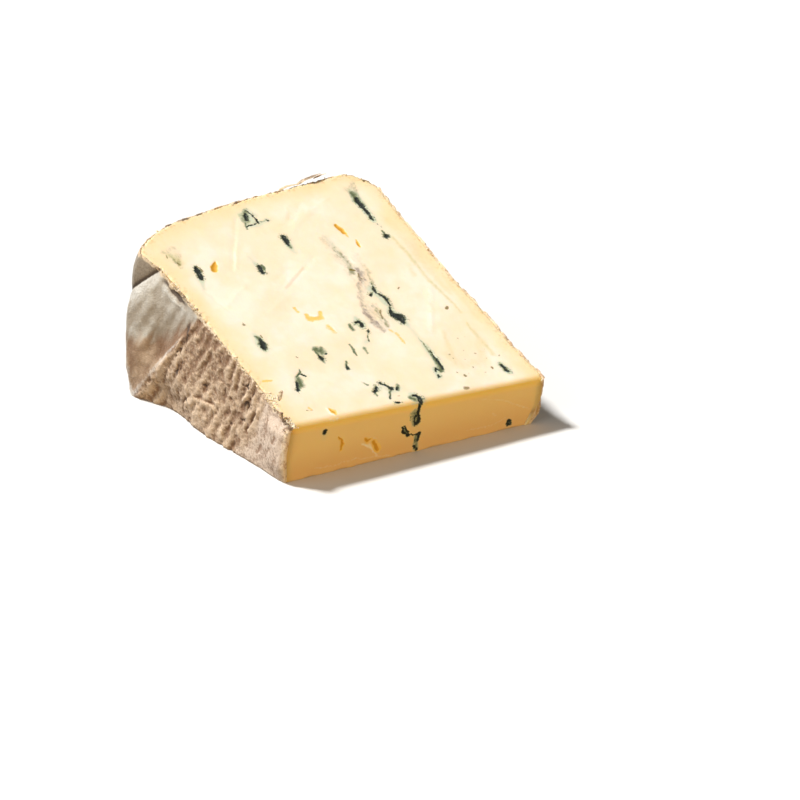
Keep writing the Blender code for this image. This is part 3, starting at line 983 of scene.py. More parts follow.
@dataclass(frozen=True)
class PasteFinish:
    """Moist cream paste, yellower near the rind, with blue-green veins and amber holes.

    It carries painted warm shade on the nose, a painted glow along the nose's upper edge and beside the rind,
    and painted shade deepening the gold of the holes.
    """

    cream: tuple = paint(243, 225, 198)
    milk: tuple = paint(245, 231, 212)
    butter: tuple = paint(242, 219, 180)
    ripe: tuple = paint(240, 214, 162)
    # Painted glow of light through the thin paste beside the rind, and painted warm shade on the nose beside
    # it.
    rind_side_glow: tuple = paint(226, 176, 108)
    # Painted warm shade of the nose, and below it a deeper painted shade for its foot and left edge.
    nose_warm_shade: tuple = paint(242, 212, 148)
    nose_foot_shade: tuple = paint(224, 182, 122)
    # Painted glow along the edge between the upper cut and the nose.
    edge_glow: tuple = paint(253, 214, 116)
    haze: tuple = paint(206, 210, 186)
    smear: tuple = paint(118, 122, 78)
    lilac: tuple = paint(136, 122, 112)
    # The holes' gold, deepest in their middle: the paste's own amber with painted shade and glow of light
    # through the paste laid into it.
    amber: tuple = paint(212, 152, 0)
    amber_pale: tuple = paint(241, 199, 104)
    tint: tuple = paint(190, 186, 108)
    speck: tuple = paint(118, 100, 30)
    pale: tuple = paint(251, 248, 232)
    green: tuple = paint(98, 108, 76)
    green_pale: tuple = paint(170, 176, 148)
    vein_rim: tuple = paint(84, 94, 72)
    vein_core: tuple = paint(30, 37, 33)
    vein_glint: tuple = paint(128, 138, 118)
    fleck: tuple = paint(126, 126, 84)
    roughness: float = 0.46
    glow: float = 0.5
    glow_reach: tuple = (1.0, 0.7, 0.4)
    glow_scale: float = 0.001
    grit_depth: float = 0.05

    def material(self) -> bpy.types.Material:
        """Builds the material.

        Returns:
            A material that reads the paste's marks.
        """
        tree = ShaderTree("paste", self.cream)
        broad = tree.grain(11.0, 1.3, 3.0)
        cloud = tree.grain(3.2, 4.1, 3.0)
        fray = tree.grain(0.55, 7.7, 3.0, 0.65) - 0.5
        crumb = tree.grain(0.9, 9.2, 2.0)
        near_rind = tree.mark("rind_distance")

        tree.coat(self.milk, (broad + cloud * 0.4).rise(0.62, 0.86))
        tree.coat(self.butter, (1.35 - broad - cloud * 0.5).rise(0.62, 0.95) * 0.7)
        ripe = 1.0 - (near_rind + (broad - 0.5) * 5.0).rise(-0.6, 8.0)
        tree.coat(self.ripe, ripe * 0.8)
        # Painted warm shade over the nose, deeper towards its foot and along its left edge.
        tree.coat(tree.mix(self.nose_warm_shade, self.nose_foot_shade, tree.mark("foot")), tree.mark("nose_warm_shade"))
        # Painted glow along the edge between the cuts.
        tree.coat(self.edge_glow, tree.mark("edge_glow_band"))
        # Painted glow in spots beside the rind, and painted warm shade where the nose meets the rind.
        rind_side_glow = (1.0 - near_rind.rise(0.3, 2.6)) * (crumb + fray * 0.3).rise(0.52, 0.66)
        nose_rind_warm_shade = (1.0 - near_rind.rise(0.2, 2.2)) * tree.mark("nose_warm_shade")
        tree.coat(self.rind_side_glow, (rind_side_glow * 0.5).most(nose_rind_warm_shade * 0.7))

        tree.coat(self.pale, (tree.mark("pale") + fray * 0.6).rise(0.15, 0.8))
        halo = tree.mark("halo")
        haze = tree.mark("haze") + halo * 0.5
        tree.coat(self.haze, (haze * (0.7 + cloud * 0.6)).rise(0.0, 1.1))
        tree.coat(self.tint, (tree.mark("tint") * (crumb + cloud)).rise(0.05, 1.2) * 0.6)
        lilac = tree.mark("lilac")
        smear = tree.mark("smear").most(lilac)
        streaks = tree.grain(0.9, 12.4, 3.0, 0.6, (1.0, 0.2, 0.2))
        stain = tree.mix(self.smear, self.lilac, (lilac * 2.0 - smear).rise(0.0, 0.8))
        tree.coat(stain, (smear * (streaks * 2.2 + fray * 1.5 - 0.1)).rise(0.03, 1.15) * 0.85)
        tree.coat(self.speck, (tree.mark("speck") + fray * 0.6).rise(-0.2, 0.4) * 0.85)
        # The holes' gold, deeper towards their middle as painted shade, with painted glow.
        amber = tree.mark("amber")
        gold = tree.mix(self.amber_pale, self.amber, (amber + fray * 0.2).rise(0.22, 0.42))
        tree.coat(gold, (amber + fray * 0.45).rise(-0.1, 0.2) * 0.95)
        tree.coat(self.fleck, (halo + fray * 2.4).rise(0.75, 1.2) * 0.75)
        green = tree.mark("green")
        shade = tree.mix(self.green_pale, self.green, (green + fray * 1.2).rise(-0.1, 0.6))
        tree.coat(shade, (green + fray * 0.9).rise(-0.45, 0.35))
        vein = tree.mark("vein")
        mould = tree.mix(self.vein_rim, self.vein_core, (vein + fray * 1.6).rise(-0.12, 0.4))
        glint = tree.grain(0.6, 15.2, 2.0, 0.6, (1.0, 0.5, 0.5)).rise(0.56, 0.7) * vein.rise(0.2, 0.6)
        veined = (vein + fray * 1.5).rise(-0.4, 0.12)
        tree.coat(tree.mix(mould, self.vein_glint, glint * 0.55), veined)

        height = tree.grain(0.35, 3.3, 3.0, 0.6) * 0.5 + cloud * 0.5 + veined * fray * 2.0
        return tree.finish({
            "Roughness": self.roughness + cloud * 0.12 + veined * 0.3,
            "Normal": tree.relief(height, self.grit_depth),
            "IOR": 1.42,
            "Subsurface Weight": self.glow,
            "Subsurface Radius": self.glow_reach,
            "Subsurface Scale": self.glow_scale,
        })


@dataclass(frozen=True)
class RindFinish:
    """Dry rind grown over with grey and white mould, brown in its hollows, with painted shade and painted
    highlight laid on where its marks say.
    """

    rib: tuple = paint(218, 190, 158)
    valley: tuple = paint(140, 104, 72)
    grey: tuple = paint(222, 217, 205)
    grey_low: tuple = paint(172, 158, 138)
    pink: tuple = paint(226, 203, 180)
    pink_low: tuple = paint(166, 134, 108)
    # Chalk-white mould, also laid on as painted highlight where the left face's lips and ridge catch the
    # light.
    chalk_and_highlight: tuple = paint(236, 232, 222)
    # Dark brown of pits, also laid on as painted shade in hollows, creases and the recess.
    pit_and_shade: tuple = paint(70, 52, 38)
    torn: tuple = paint(226, 205, 172)
    torn_dark: tuple = paint(148, 120, 90)
    end: tuple = paint(236, 212, 178)
    end_dark: tuple = paint(198, 162, 126)
    roughness: float = 0.88
    bloom: float = 0.12
    fuzz_depth: float = 0.28

    def material(self) -> bpy.types.Material:
        """Builds the material.

        Returns:
            A material that reads the rind's marks.
        """
        tree = ShaderTree("rind", self.valley)
        speckle = tree.grain(0.6, 2.2, 4.0, 0.7)
        patch = tree.grain(3.4, 5.9, 3.0)
        broad = tree.grain(9.0, 8.8, 2.0)
        fleck = speckle - 0.5
        drift = patch - 0.5
        mottle = (fleck * 2.0 + drift * 0.9) * (1.0 - tree.mark("calm"))
        # Painted shade from the shade mark lowers this level, pulling the colour to the valley brown, the low
        # grey and the low pink.
        level = (tree.mark("height") * 1.6 + mottle + 0.56 - tree.mark("shade") * 0.75).rise(0.0, 1.0)

        tree.coat(self.rib, level)
        grey = tree.mix(self.grey_low, self.grey, level)
        tree.coat(grey, (tree.mark("grey") + drift * 0.7).rise(0.1, 0.9))
        pink = tree.mix(self.pink_low, self.pink, (level * 1.3).rise(0.0, 1.0))
        tree.coat(pink, (tree.mark("pink") + drift * 0.8).rise(0.2, 0.8))
        # Chalk-white mould, with painted highlight on the left face's lips and ridge.
        tree.coat(self.chalk_and_highlight, (tree.mark("chalk_and_highlight") + fleck * 0.9 + (broad - 0.5) * 0.5).rise(0.35, 1.0) * 0.8)
        # Brown pits, and painted shade in hollows, creases and the recess.
        tree.coat(self.pit_and_shade, (tree.mark("pit_and_shade") + fleck * 0.8).rise(0.25, 0.9) * 0.9)
        shreds = (tree.grain(1.1, 3.9, 3.0) + fleck * 0.5).rise(0.36, 0.54)
        ragged = tree.mix(self.torn_dark, self.torn, shreds)
        ends = tree.mix(self.end_dark, self.end, (patch + fleck * 1.2).rise(0.35, 0.6))
        torn = (tree.mark("torn") + fleck * 0.8).rise(0.3, 0.8)
        tree.coat(tree.mix(ragged, ends, tree.mark("end")), torn)

        fuzz = tree.grain(0.28, 6.4, 3.0, 0.7)
        return tree.finish({
            "Roughness": self.roughness - 0.1 * patch,
            "Normal": tree.relief(fuzz * 0.6 + speckle, self.fuzz_depth),
            "Sheen Weight": self.bloom,
            "Sheen Roughness": 0.6,
        })


@dataclass(frozen=True)
class CrumbFinish:
    """Crumbs and flakes: pale as paste where they are paste, tan to grey-brown where they are rind."""

    paste: tuple = paint(238, 216, 184)
    tan: tuple = paint(214, 186, 150)
    brown: tuple = paint(120, 100, 82)
    roughness: float = 0.75
    glow: float = 0.3
    glow_reach: tuple = (1.0, 0.55, 0.22)
    glow_scale: float = 0.0008

    def material(self, name: str) -> bpy.types.Material:
        """Builds the material.

        Args:
            name: The material's name.

        Returns:
            A material that reads the pieces' tone.
        """
        tree = ShaderTree(name, self.paste)
        tone = tree.mark("tone") + (tree.grain(0.5, 21.0, 2.0) - 0.5) * 0.5
        tree.coat(self.tan, tone.rise(0.15, 0.6))
        tree.coat(self.brown, tone.rise(0.55, 1.0))
        return tree.finish({
            "Roughness": self.roughness,
            "Subsurface Weight": self.glow,
            "Subsurface Radius": self.glow_reach,
            "Subsurface Scale": self.glow_scale,
        })


@dataclass
class Paste:
    """The cheese itself: a fine upper cut and nose, plain hidden sides under the rind, a flat base."""

    wedge: Wedge
    under_rind: float = 0.45
    base_tuck: float = 0.3
    hidden_inset: float = 2.2
    cut_length: float = 71.0
    nose_length: float = 16.5
    across_steps: int = 236
    along_steps: int = 252
    nose_steps: int = 48
    side_places: tuple = (0, 5, 12, 30, 48)
    edge_radius: float = 2.5
    edge_step: float = 0.13
    edge_count: int = 8
    hole_depth: float = 0.35
    vein_depth: float = 0.28
    cut_map: tuple = ((0.01, 0.01), (0.72, 0.81))
    nose_map: tuple = ((0.01, 0.825), (0.72, 0.985))
    side_map: tuple = ((0.93, 0.01), (0.99, 0.985))
    outline_steps: tuple = (260, 60, 120, 40, 260)

    def shares(self, length: float, steps: int) -> Array:
        """Shares of a length: a few fine steps at its start, and even ones after."""
        fine = self.edge_step / length * np.arange(self.edge_count + 1)
        return np.concatenate([fine[:-1], np.linspace(fine[-1], 1.0, steps + 1 - self.edge_count)])

    def boundary(self, angle: Array, depth: float | Array) -> tuple[Array, ...]:
        """The paste's outline at several angles, split at the middle of the shoulders.

        Args:
            angle: Angles about the axis, shape (rows, 1).
            depth: How far inside the rind's plain outside it runs, in mm.

        Returns:
            The left, rim and right parts, each (rows, points, 2) of x and radius. The left and right parts
            start at the nose, and the rim on the left.
        """
        x, r = inset(*self.wedge.outline(angle, self.outline_steps), depth)
        face, turn, rim, last_turn, _ = self.outline_steps
        first, second = face + turn // 2, face + turn + rim + last_turn // 2
        along = self.shares(self.cut_length, self.along_steps)
        across = np.linspace(0.0, 1.0, self.across_steps + 1)
        runs = (
            (slice(0, first + 1), along, 1),
            (slice(first, second + 1), across, 1),
            (slice(second, None), along, -1),
        )
        return tuple(
            np.array([resampled(row_x[run][::way], row_r[run][::way], share) for row_x, row_r in zip(x, r)])
            for run, share, way in runs
        )

    def cut_face(self, left: Array, rim: Array, right: Array) -> Array:
        """Points of the upper cut, blended between its four edges.

        A point is the blend of the left and right edges plus the blend of the nose and rim edges,
        less the blend of the four corners.

        Args:
            left: The left edge as (x, radius), from the nose up.
            rim: The rim edge, from left to right.
            right: The right edge, from the nose up.

        Returns:
            Points in space of shape (across_steps + 1, along_steps + 1, 3).
        """
        s = np.linspace(0.0, 1.0, self.across_steps + 1)[:, None, None]
        t = self.shares(self.cut_length, self.along_steps)[None, :, None]
        nose = left[0] + (right[0] - left[0]) * s[:, 0]
        nose[:, 1] = self.wedge.nose_radius(nose[:, 0], self.wedge.angle)
        corners = (1 - s) * ((1 - t) * left[0] + t * left[-1]) + s * ((1 - t) * right[0] + t * right[-1])
        flat = (1 - s) * left[None] + s * right[None] + (1 - t) * nose[:, None] + t * rim[:, None] - corners
        return around(flat[..., 0], flat[..., 1], self.wedge.angle)

    def softened(self, points: Array, distance: Array, side: float) -> Array:
        """Rounds the edge between the upper cut and the nose.

        The flat profile either side of the edge is wound on to an arc that touches both faces.

        Args:
            points: Points of one of the two faces.
            distance: Their distances from the edge within that face.
            side: 1 on the upper cut, -1 on the nose.

        Returns:
            The moved points, shape (count, 3).
        """
        up, out = self.wedge.cut_normal(), self.wedge.nose_normal()
        half = 0.5 * math.acos(float(up @ out))
        middle = (up + out) / np.linalg.norm(up + out)
        across = (up - out) / np.linalg.norm(up - out)
        face, other = (up, out) if side > 0 else (out, up)
        inward = np.cross(np.cross(other, face), face)
        inward *= -np.sign(inward @ middle) / np.linalg.norm(inward)
        reach = self.edge_radius * math.tan(half)
        turn = half * distance[..., None] / reach * side
        centre = points - distance[..., None] * inward - middle * self.edge_radius / math.cos(half)
        wound = centre + self.edge_radius * (np.cos(turn) * middle + np.sin(turn) * across)
        return np.where((distance < reach)[..., None], wound, points).reshape(-1, 3)

    def shaped(
        self, points: Array, normal: Array, rind_distance: Array, worn: float
    ) -> tuple[Array, dict[str, Array]]:
        """Sinks and raises the points of a cut face by its marks and by slow waves.

        Args:
            points: Points of the face, shape (count, 3).
            normal: The face's outward normal.
            rind_distance: Each point's distance from the rind, in mm.
            worn: How far the edge beside the rind sinks, and how wide the veins' halo shows, from 0 to 1.

        Returns:
            The moved points, and at each the level of every kind of mark and the distance from the rind.
        """
        levels = {mark.value: marked(points, mark, self.wedge) for mark in Mark if mark is not Mark.FURROW}
        levels["halo"] = worn * marked(points, Mark.VEIN, self.wedge, 4.0, 1.1)
        levels["rind_distance"] = rind_distance
        height = 0.14 * lumps(points, 15.0, 11) + 0.045 * lumps(points, 4.6, 12, 2)
        height += 0.012 * lumps(points, 1.1, 13, 2)
        amber = levels["amber"]
        height -= self.hole_depth * rise(amber, -0.05, 0.55) * np.clip(amber + 0.1, 0.0, 1.0)
        height -= self.vein_depth * rise(levels["vein"], 0.0, 0.8) * (1.0 + 0.6 * lumps(points, 0.7, 14))
        height -= 0.14 * rise(levels["green"], 0.0, 0.9) + 0.10 * rise(levels["speck"], 0.0, 0.8)
        height += 0.07 * levels["pale"] - 0.07 * levels.pop("score")
        ragged = np.clip(0.5 + 0.9 * lumps(points, 1.0, 15, 3), 0.0, 1.4)
        height -= worn * (0.05 + 0.40 * ragged) * (1.0 - rise(rind_distance, 0.0, 0.6))
        return points + height[:, None] * normal, levels

    def side_rows(self, rows: Array) -> tuple[Array, ...]:
        """The hidden sides: close under the rind in their two upper rows, and further in below.

        Args:
            rows: Angles of the rows about the axis, shape (count, 1).

        Returns:
            The left, rim and right parts, as boundary gives them.
        """
        parts = self.boundary(rows, self.hidden_inset)
        for row, depth in enumerate((self.under_rind, self.under_rind + self.base_tuck)):
            for part, upper in zip(parts, self.boundary(rows[row : row + 1], depth)):
                part[row] = upper[0]
        return parts

    def nose_face(self, down: Array) -> Array:
        """Points of the nose cut, evenly spaced from its left end to its right.

        Args:
            down: Shares of the way down from the upper cut.

        Returns:
            Points in space of shape (len(down), across_steps + 1, 3).
        """
        angles = self.wedge.angle * (1.0 - down)[:, None]
        under = self.under_rind + self.base_tuck * rise(down, 0.0, 0.06)[:, None]
        left, _, right = self.boundary(angles, under)
        across = np.linspace(0.0, 1.0, self.across_steps + 1)
        x = left[:, :1, 0] + (right[:, :1, 0] - left[:, :1, 0]) * across
        return around(x, self.wedge.nose_radius(x, angles), angles)

    def dressed(self, cut: Array, nose: Array) -> tuple[Array, Array, dict, dict]:
        """Rounds the edge between the two cut faces and lays the marks on them.

        Args:
            cut: Points of the upper cut, shape (across, along, 3), with the edge at its first column.
            nose: Points of the nose cut, shape (down, across, 3), with the edge in its first row.

        Returns:
            Points of the cut (count, 3) and of the nose (down, across, 3), and the levels on each.
        """
        up, out = self.wedge.cut_normal(), self.wedge.nose_normal()
        samples = np.concatenate([cut[0, ::3], cut[-1, ::3], cut[::3, -1], nose[::2, 0], nose[::2, -1]])
        cut_edge = np.linalg.norm(cut - cut[:, :1], axis=-1)
        nose_edge = np.linalg.norm(nose - nose[:1], axis=-1)
        cut_rind, nose_rind = (nearest(face.reshape(-1, 3), samples) for face in (cut, nose))
        cut_points, on_cut = self.shaped(self.softened(cut, cut_edge, 1.0), up, cut_rind, 1.0)
        nose_points, on_nose = self.shaped(self.softened(nose, nose_edge, -1.0), out, nose_rind, 0.3)
        x, foot = nose[..., 0], nose[..., 2]
        tuck = 0.25 * (1.0 - rise(foot, 0.0, 0.6)) * (1.0 + 0.8 * lumps(nose, 2.3, 16, 2))
        nose_points = nose_points.reshape(nose.shape) - tuck[..., None] * out
        nose_points[-1, :, 2] = 0.0
        nose_points[..., 2] = np.maximum(nose_points[..., 2], 0.0)

        none = np.zeros_like(cut_edge)
        # The nose is painted with warm shade, and the foot level deepens that painted shade towards its foot
        # and along its left edge.
        left_edge = bump(x, x.min(axis=1, keepdims=True), 2.2)
        # A painted glow lies along the edge between the cuts, on both faces.
        on_cut |= {"nose_warm_shade": none, "edge_glow_band": 0.7 * bump(cut_edge, 0.0, 1.1), "foot": none}
        on_nose |= {"nose_warm_shade": rise(nose_edge, 0.0, 1.0), "edge_glow_band": 1.0 - rise(nose_edge, 0.4, 2.6)}
        on_nose["foot"] = np.maximum(0.9 - 0.9 * rise(foot, 0.0, 11.0), 0.8 * left_edge)
        return cut_points, nose_points, on_cut, on_nose

    def caps(self, nose_ids: Array, side_ids: Array) -> list[Array]:
        """The faces with many corners: one beside each end of the nose for every side row, and the base.

        Args:
            nose_ids: Vertex numbers of the nose, shape (down, across).
            side_ids: Vertex numbers of the sides, shape (round, rows), nose ends included.

        Returns:
            The corners of each face in order.
        """
        caps = []
        for row, (first, last) in enumerate(itertools.pairwise(self.side_places)):
            run = np.arange(last - 1, first, -1)
            left_cap = (side_ids[:2, row], side_ids[1::-1, row + 1], nose_ids[run, 0])
            right_cap = (side_ids[-2:, row], nose_ids[run[::-1], -1], side_ids[:-3:-1, row + 1])
            caps += [np.concatenate(left_cap), np.concatenate(right_cap)]
        return caps + [np.concatenate([nose_ids[-1, ::-1], side_ids[1:-1, -1]])]

    def build(self) -> Piece:
        """Makes the closed mesh.

        Returns:
            The paste, carrying one number per point for each kind of mark and its distance from the rind.
        """
        places = list(self.side_places)
        down = self.shares(self.nose_length, self.nose_steps)
        rows = self.wedge.angle * (1.0 - down[places])[:, None]
        left, rim, right = self.side_rows(rows)
        cut, nose = self.cut_face(left[0], rim[0], right[0]), self.nose_face(down)
        cut_points, nose_points, on_cut, on_nose = self.dressed(cut, nose)

        cut_ids = np.arange(cut[..., 0].size).reshape(cut.shape[:2])
        nose_ids = cut_ids.size - len(cut) + np.arange(nose[..., 0].size).reshape(nose.shape[:2])
        nose_ids[0] = cut_ids[:, 0]
        chain = np.concatenate([left, rim[:, 1:-1], right[:, ::-1]], axis=1)
        sides = around(chain[..., 0], chain[..., 1], rows)[1:, 1:-1].transpose(1, 0, 2)
        side_ids = np.empty((chain.shape[1], len(places)), int)
        side_ids[:, 0] = np.concatenate([cut_ids[0], cut_ids[1:-1, -1], cut_ids[-1, ::-1]])
        side_ids[[0, -1]] = nose_ids[places][:, [0, -1]].T
        side_ids[1:-1, 1:] = nose_ids.max() + 1 + np.arange(sides[..., 0].size).reshape(sides.shape[:2])
        points = np.concatenate([cut_points, nose_points[1:].reshape(-1, 3), sides.reshape(-1, 3)])

        crisp = [mark.value for mark in CRISP]
        marks = {}
        for name, level in on_cut.items():
            hidden = np.full(sides.shape[:2], -1.0 if name in crisp else 0.0)
            below_edge = on_nose[name].ravel()[len(cut) :]
            marks[name] = np.concatenate([level.ravel(), below_edge, hidden.ravel()])

        along = self.shares(self.cut_length, self.along_steps)
        across = np.linspace(0.0, 1.0, self.across_steps + 1)
        side_share = np.linspace(0.0, 1.0, len(side_ids))[1:-1]
        side_flat = flat_grid(side_share, np.linspace(0.0, 1.0, len(places)), *self.side_map)
        patches = [
            Patch(cut_ids, flat_grid(along, across, *self.cut_map).transpose(1, 0, 2)),
            Patch(nose_ids, flat_grid(1.0 - down, across, *self.nose_map)),
            Patch(side_ids[1:-1], side_flat),
        ]
        caps, cap_flat = self.caps(nose_ids, side_ids), []
        share = (points - points.min(axis=0)) / np.ptp(points, axis=0)
        for cap in caps:
            lift = 0.3 if points[cap, 2].max() > 0.01 else 0.0
            flat = (0.74 + 0.17 * share[cap, 0], 0.02 + 0.20 * share[cap, 1] + lift)
            cap_flat.append(np.column_stack(flat))
        return Piece("paste", points, patches, caps, marks, cap_flat)


# How many columns of the rind lie on its left face, left shoulder, rim, right shoulder and right face.
# EDGES is the first column of each part, and COLUMNS numbers them all. Crumbs are placed by them too.
RIND_STEPS = (236, 62, 110, 26, 160)
EDGES = np.cumsum((0,) + RIND_STEPS)
COLUMNS = np.arange(EDGES[-1])


@dataclass
class Rind:
    """The rind: one thin closed shell round both flat faces and the rim, ragged along the cuts."""

    wedge: Wedge
    thickness: float = 0.6
    rows: int = 118
    rib_fan: tuple = (-2.0, 122.0)
    rib_cells: tuple = ((9.0, 6.0), (6.0, 4.5), (2.1, 1.2), (0.7, 0.55), (0.9, 0.6), (7.0, 5.0))
    rib_spacing: float = 0.0222
    wide_spacing: float = 0.0285
    recess_place: float = 87.6
    recess_reach: float = 3.9
    fold_line: tuple = ((83.0, 27.2), (106.0, 17.0))
    hidden_depth: float = 1.9
    end_depth: float = 0.9
    hidden_rows: tuple = (0.90, 0.5, 0.02)
    torn_layers: tuple = ((0.25, 0.10), (0.55, 0.16), (0.85, -0.02))
    face_height: float = 45.0
    left_map: tuple = ((0.01, 0.47), (0.95, 0.985))
    right_map: tuple = ((0.01, 0.13), (0.965, 0.455))
    inner_map: tuple = ((0.01, 0.03), (0.965, 0.11))

    def ribs(self, y: Array, z: Array, seed: int) -> dict[str, Array]:
        """Cloth ribs pressed into a flat face while the wheel drained, broken up by mould.

        The ribs fan out from a point above the axis, so their phase is the angle about that point.
        Lumps longer along the ribs than across break them, and sharp pits sink between them.

        Args:
            y: Distance from the axis, in mm.
            z: Height, in mm.
            seed: Which noise.

        Returns:
            Heights in mm of the narrow and the wide ribs, how deep the pits are, from 0 to 1, and the
            wide ribs' streak, from -1 to 1.
        """
        away = np.hypot(y - self.rib_fan[0], self.rib_fan[1] - z)
        turn = np.arctan2(y - self.rib_fan[0], self.rib_fan[1] - z)
        place = np.stack([away, turn * 130.0, np.zeros_like(y)], axis=-1)
        waver, strength, broken, fine, pitted, gathered = (
            lumps(place, (*cell, 1.0), seed + n, 2) for n, cell in enumerate(self.rib_cells)
        )
        strength = np.clip(0.7 + 0.7 * strength, 0.1, 1.3)
        narrow = np.sin(2.0 * math.pi * turn / self.rib_spacing + 1.7 * waver)
        wide = np.sin(2.0 * math.pi * turn / self.wide_spacing + 0.6 * 1.7 * waver)
        pits = rise(pitted - 0.25 * narrow, 0.35, 0.85) * np.clip(0.2 + 1.3 * gathered, 0.0, 1.0)
        return {
            "narrow": 0.15 * strength * narrow + 0.16 * broken + 0.12 * fine - 0.28 * pits,
            "wide": 0.07 * strength * wide + 0.04 * broken + 0.02 * fine,
            "pits": pits,
            "streak": strength * wide,
        }

    def recess(self, y: Array) -> Array:
        """How far each place along the left cut line belongs to the torn recess in it, from 0 to 1."""
        return bump(y, self.recess_place, self.recess_reach)

    def left_skin(self, points: Array) -> dict[str, Array]:
        """Fine relief and colouring of the left face.

        Ribs fill the part under the ridge and fade towards the nose. Behind the ridge it is smooth and grey
        up to the crease, with slanting streaks. Furrows are laid on one by one. Painted shade darkens bands
        along a fold line, the upper ribs, the facet above the crease, the crease, the recess, the furrows'
        hollows and the cut edge, and painted highlight lightens the lips, and partly the ridge's crest.

        Args:
            points: Points of the plain face, shape (..., 3).

        Returns:
            The height in mm and the levels that the finish reads, at each point.
        """
        y, z = points[..., 1], points[..., 2]
        ribs = self.ribs(y, z, 210)
        from_ridge, on_ridge = across_line(y, z, *self.wedge.ridge_line)
        from_crease, on_crease = across_line(y, z, *self.wedge.crease_line)
        from_fold, _ = across_line(y, z, *self.fold_line)
        drift = 1.5 * lumps(points, 6.0, 220, 2)
        grain = lumps(points, 2.4, 221, 3)
        smooth = rise(from_ridge + 0.4 * drift, -0.5, 1.2)
        ribbed = 1.0 - smooth
        under = from_crease < 0.0
        nose_side = 1.0 - rise(y + 0.75 * z + 1.6 * drift, 58.0, 66.0)
        tame = 1.0 - 0.8 * nose_side
        below_cut = (self.wedge.angle - np.arctan2(z, y)) * np.hypot(y, z)
        recess = self.recess(y) * (1.0 - rise(below_cut + 0.5 * grain, 1.9, 3.0))
        curl = 0.7 * self.recess(y) * bump(below_cut + 0.7 * grain, 3.6, 0.5)
        flat = np.stack([np.zeros_like(y), y, z], axis=-1).reshape(-1, 3)
        furrow = marked(flat, Mark.FURROW, self.wedge).reshape(y.shape) * (1.0 + 0.5 * grain)
        hollow, lip = np.maximum(-furrow, 0.0), np.maximum(furrow, 0.0)
        crest = bump(from_ridge, 0.3, 0.6 + 0.6 * rise(on_ridge, 0.3, 0.7)) * rise(on_ridge, 0.1, 0.22)
        # Painted shade: a dark band along the fold line, a lighter band above it, and darker grey towards the
        # rim.
        fold_shade = 0.8 * bump(from_fold + 0.3 * drift, -2.6, 4.2) * (1.0 - 0.8 * rise(y, 92.0, 101.0)) * smooth
        fold_shade += 0.25 * bump(from_fold, 3.8, 3.0) * rise(y, 86.0, 90.0) + 0.22 * rise(y, 98.0, 106.0)
        sheared = 0.87 * y + 0.50 * z + 0.5 * drift
        streaked = lumps(np.stack([sheared, 0.09 * (y - z), np.zeros_like(y)], axis=-1), 0.8, 222, 3)
        streaked = 0.55 * streaked + 0.45 * np.sin(2.0 * math.pi * sheared / 3.2 + 1.4) * rise(z, 16.0, 24.0)
        rim_edge = rise(y + 0.06 * z, 106.5, 108.6)
        facet = (1.0 - under) * (1.0 - rim_edge)
        along_crease = rise(on_crease, -0.1, 0.3)

        height = ribs["narrow"] * ribbed * tame + ribs["wide"] * smooth * under + 0.07 * grain
        height += 0.24 * lip - 0.30 * hollow - 0.65 * recess + 0.35 * curl
        grey = smooth * rise(from_fold + 0.6 * drift + 0.5 * grain + streaked, -5.0, 3.0)
        # The ridge's crest is chalked lighter, partly mould and partly painted highlight; the furrows' lips
        # and the lip under the crease are chalked as painted highlight; the rim edge's chalk is mould.
        chalk_and_highlight = 0.62 * crest + 0.35 * rim_edge + 0.4 * lip + 0.35 * curl
        chalk_and_highlight += 0.35 * rise(y + 0.06 * z, 105.6, 107.4) * (1.0 + 0.8 * grain) * (z < 20.0)
        chalk_and_highlight += 0.75 * bump(from_crease, -1.7, 1.5) * along_crease
        # Painted shade: a dark patch in the crevice at the ridge's upper end, and a dark band just below the
        # cut edge near the recess.
        crevice_shade = bump(y, 82.8, 1.3) * bump(z, 25.2, 2.6) * (0.45 + 0.8 * grain)
        cut_edge_shade = bump(y, 84.0, 7.5) * (1.0 - rise(below_cut + 0.5 * grain, 0.5, 1.2))
        # This level carries the ribs' brown pits, and painted shade in the furrows' hollows, the recess, the
        # facet above the crease, the crevice, the cut edge and the crease.
        pit_and_shade = ribs["pits"] * ribbed * (0.2 + 0.8 * tame) + 0.45 * hollow + 1.6 * recess + 0.45 * facet
        pit_and_shade += np.maximum(crevice_shade, 0.0) + 0.5 * cut_edge_shade + 0.5 * bump(from_crease, 0.3, 0.4) * along_crease
        # Painted shade: darker over the upper ribs and lighter at the tucked foot beneath them, darker left
        # of the fold and lighter over the hollow at its lower end. The facet above the crease and the
        # furrows' hollows are painted darker, their lips lighter.
        rib_zone_shade = bump(y, 73.0, 9.5) * bump(z, 26.0, 9.0) - 0.5 * bump(y, 80.5, 4.5) * bump(z, 6.0, 3.0)
        rib_zone_shade = 0.45 * rib_zone_shade - 0.12 * bump(y, 75.0, 3.0) * bump(z, 14.0, 3.0)
        fold_zone_shade = 0.45 * bump(y, 91.0, 5.0) * bump(z, 19.5, 3.4)
        fold_zone_shade -= 0.5 * bump(y, 99.6, 4.5) * bump(z, 18.4, 3.4)
        shade = 1.1 * fold_shade * under + 0.4 * hollow + facet - 0.3 * lip
        shade += rib_zone_shade * ribbed + fold_zone_shade * smooth
        return {
            "height": height,
            "grey": np.where(under, grey + 0.2 * streaked * smooth, 0.95),
            "pink": nose_side * (1.0 - 0.4 * hollow),
            "chalk_and_highlight": chalk_and_highlight,
            "pit_and_shade": pit_and_shade,
            "shade": np.clip(shade - 0.3 * streaked * smooth * under, -0.5, 1.2),
            "calm": 0.75 * smooth,
            "frayed": 0.9 * (1.0 - rise(below_cut + 0.7 * grain, 0.25, 0.8 + 1.3 * bump(y, 85.0, 7.5))),
        }

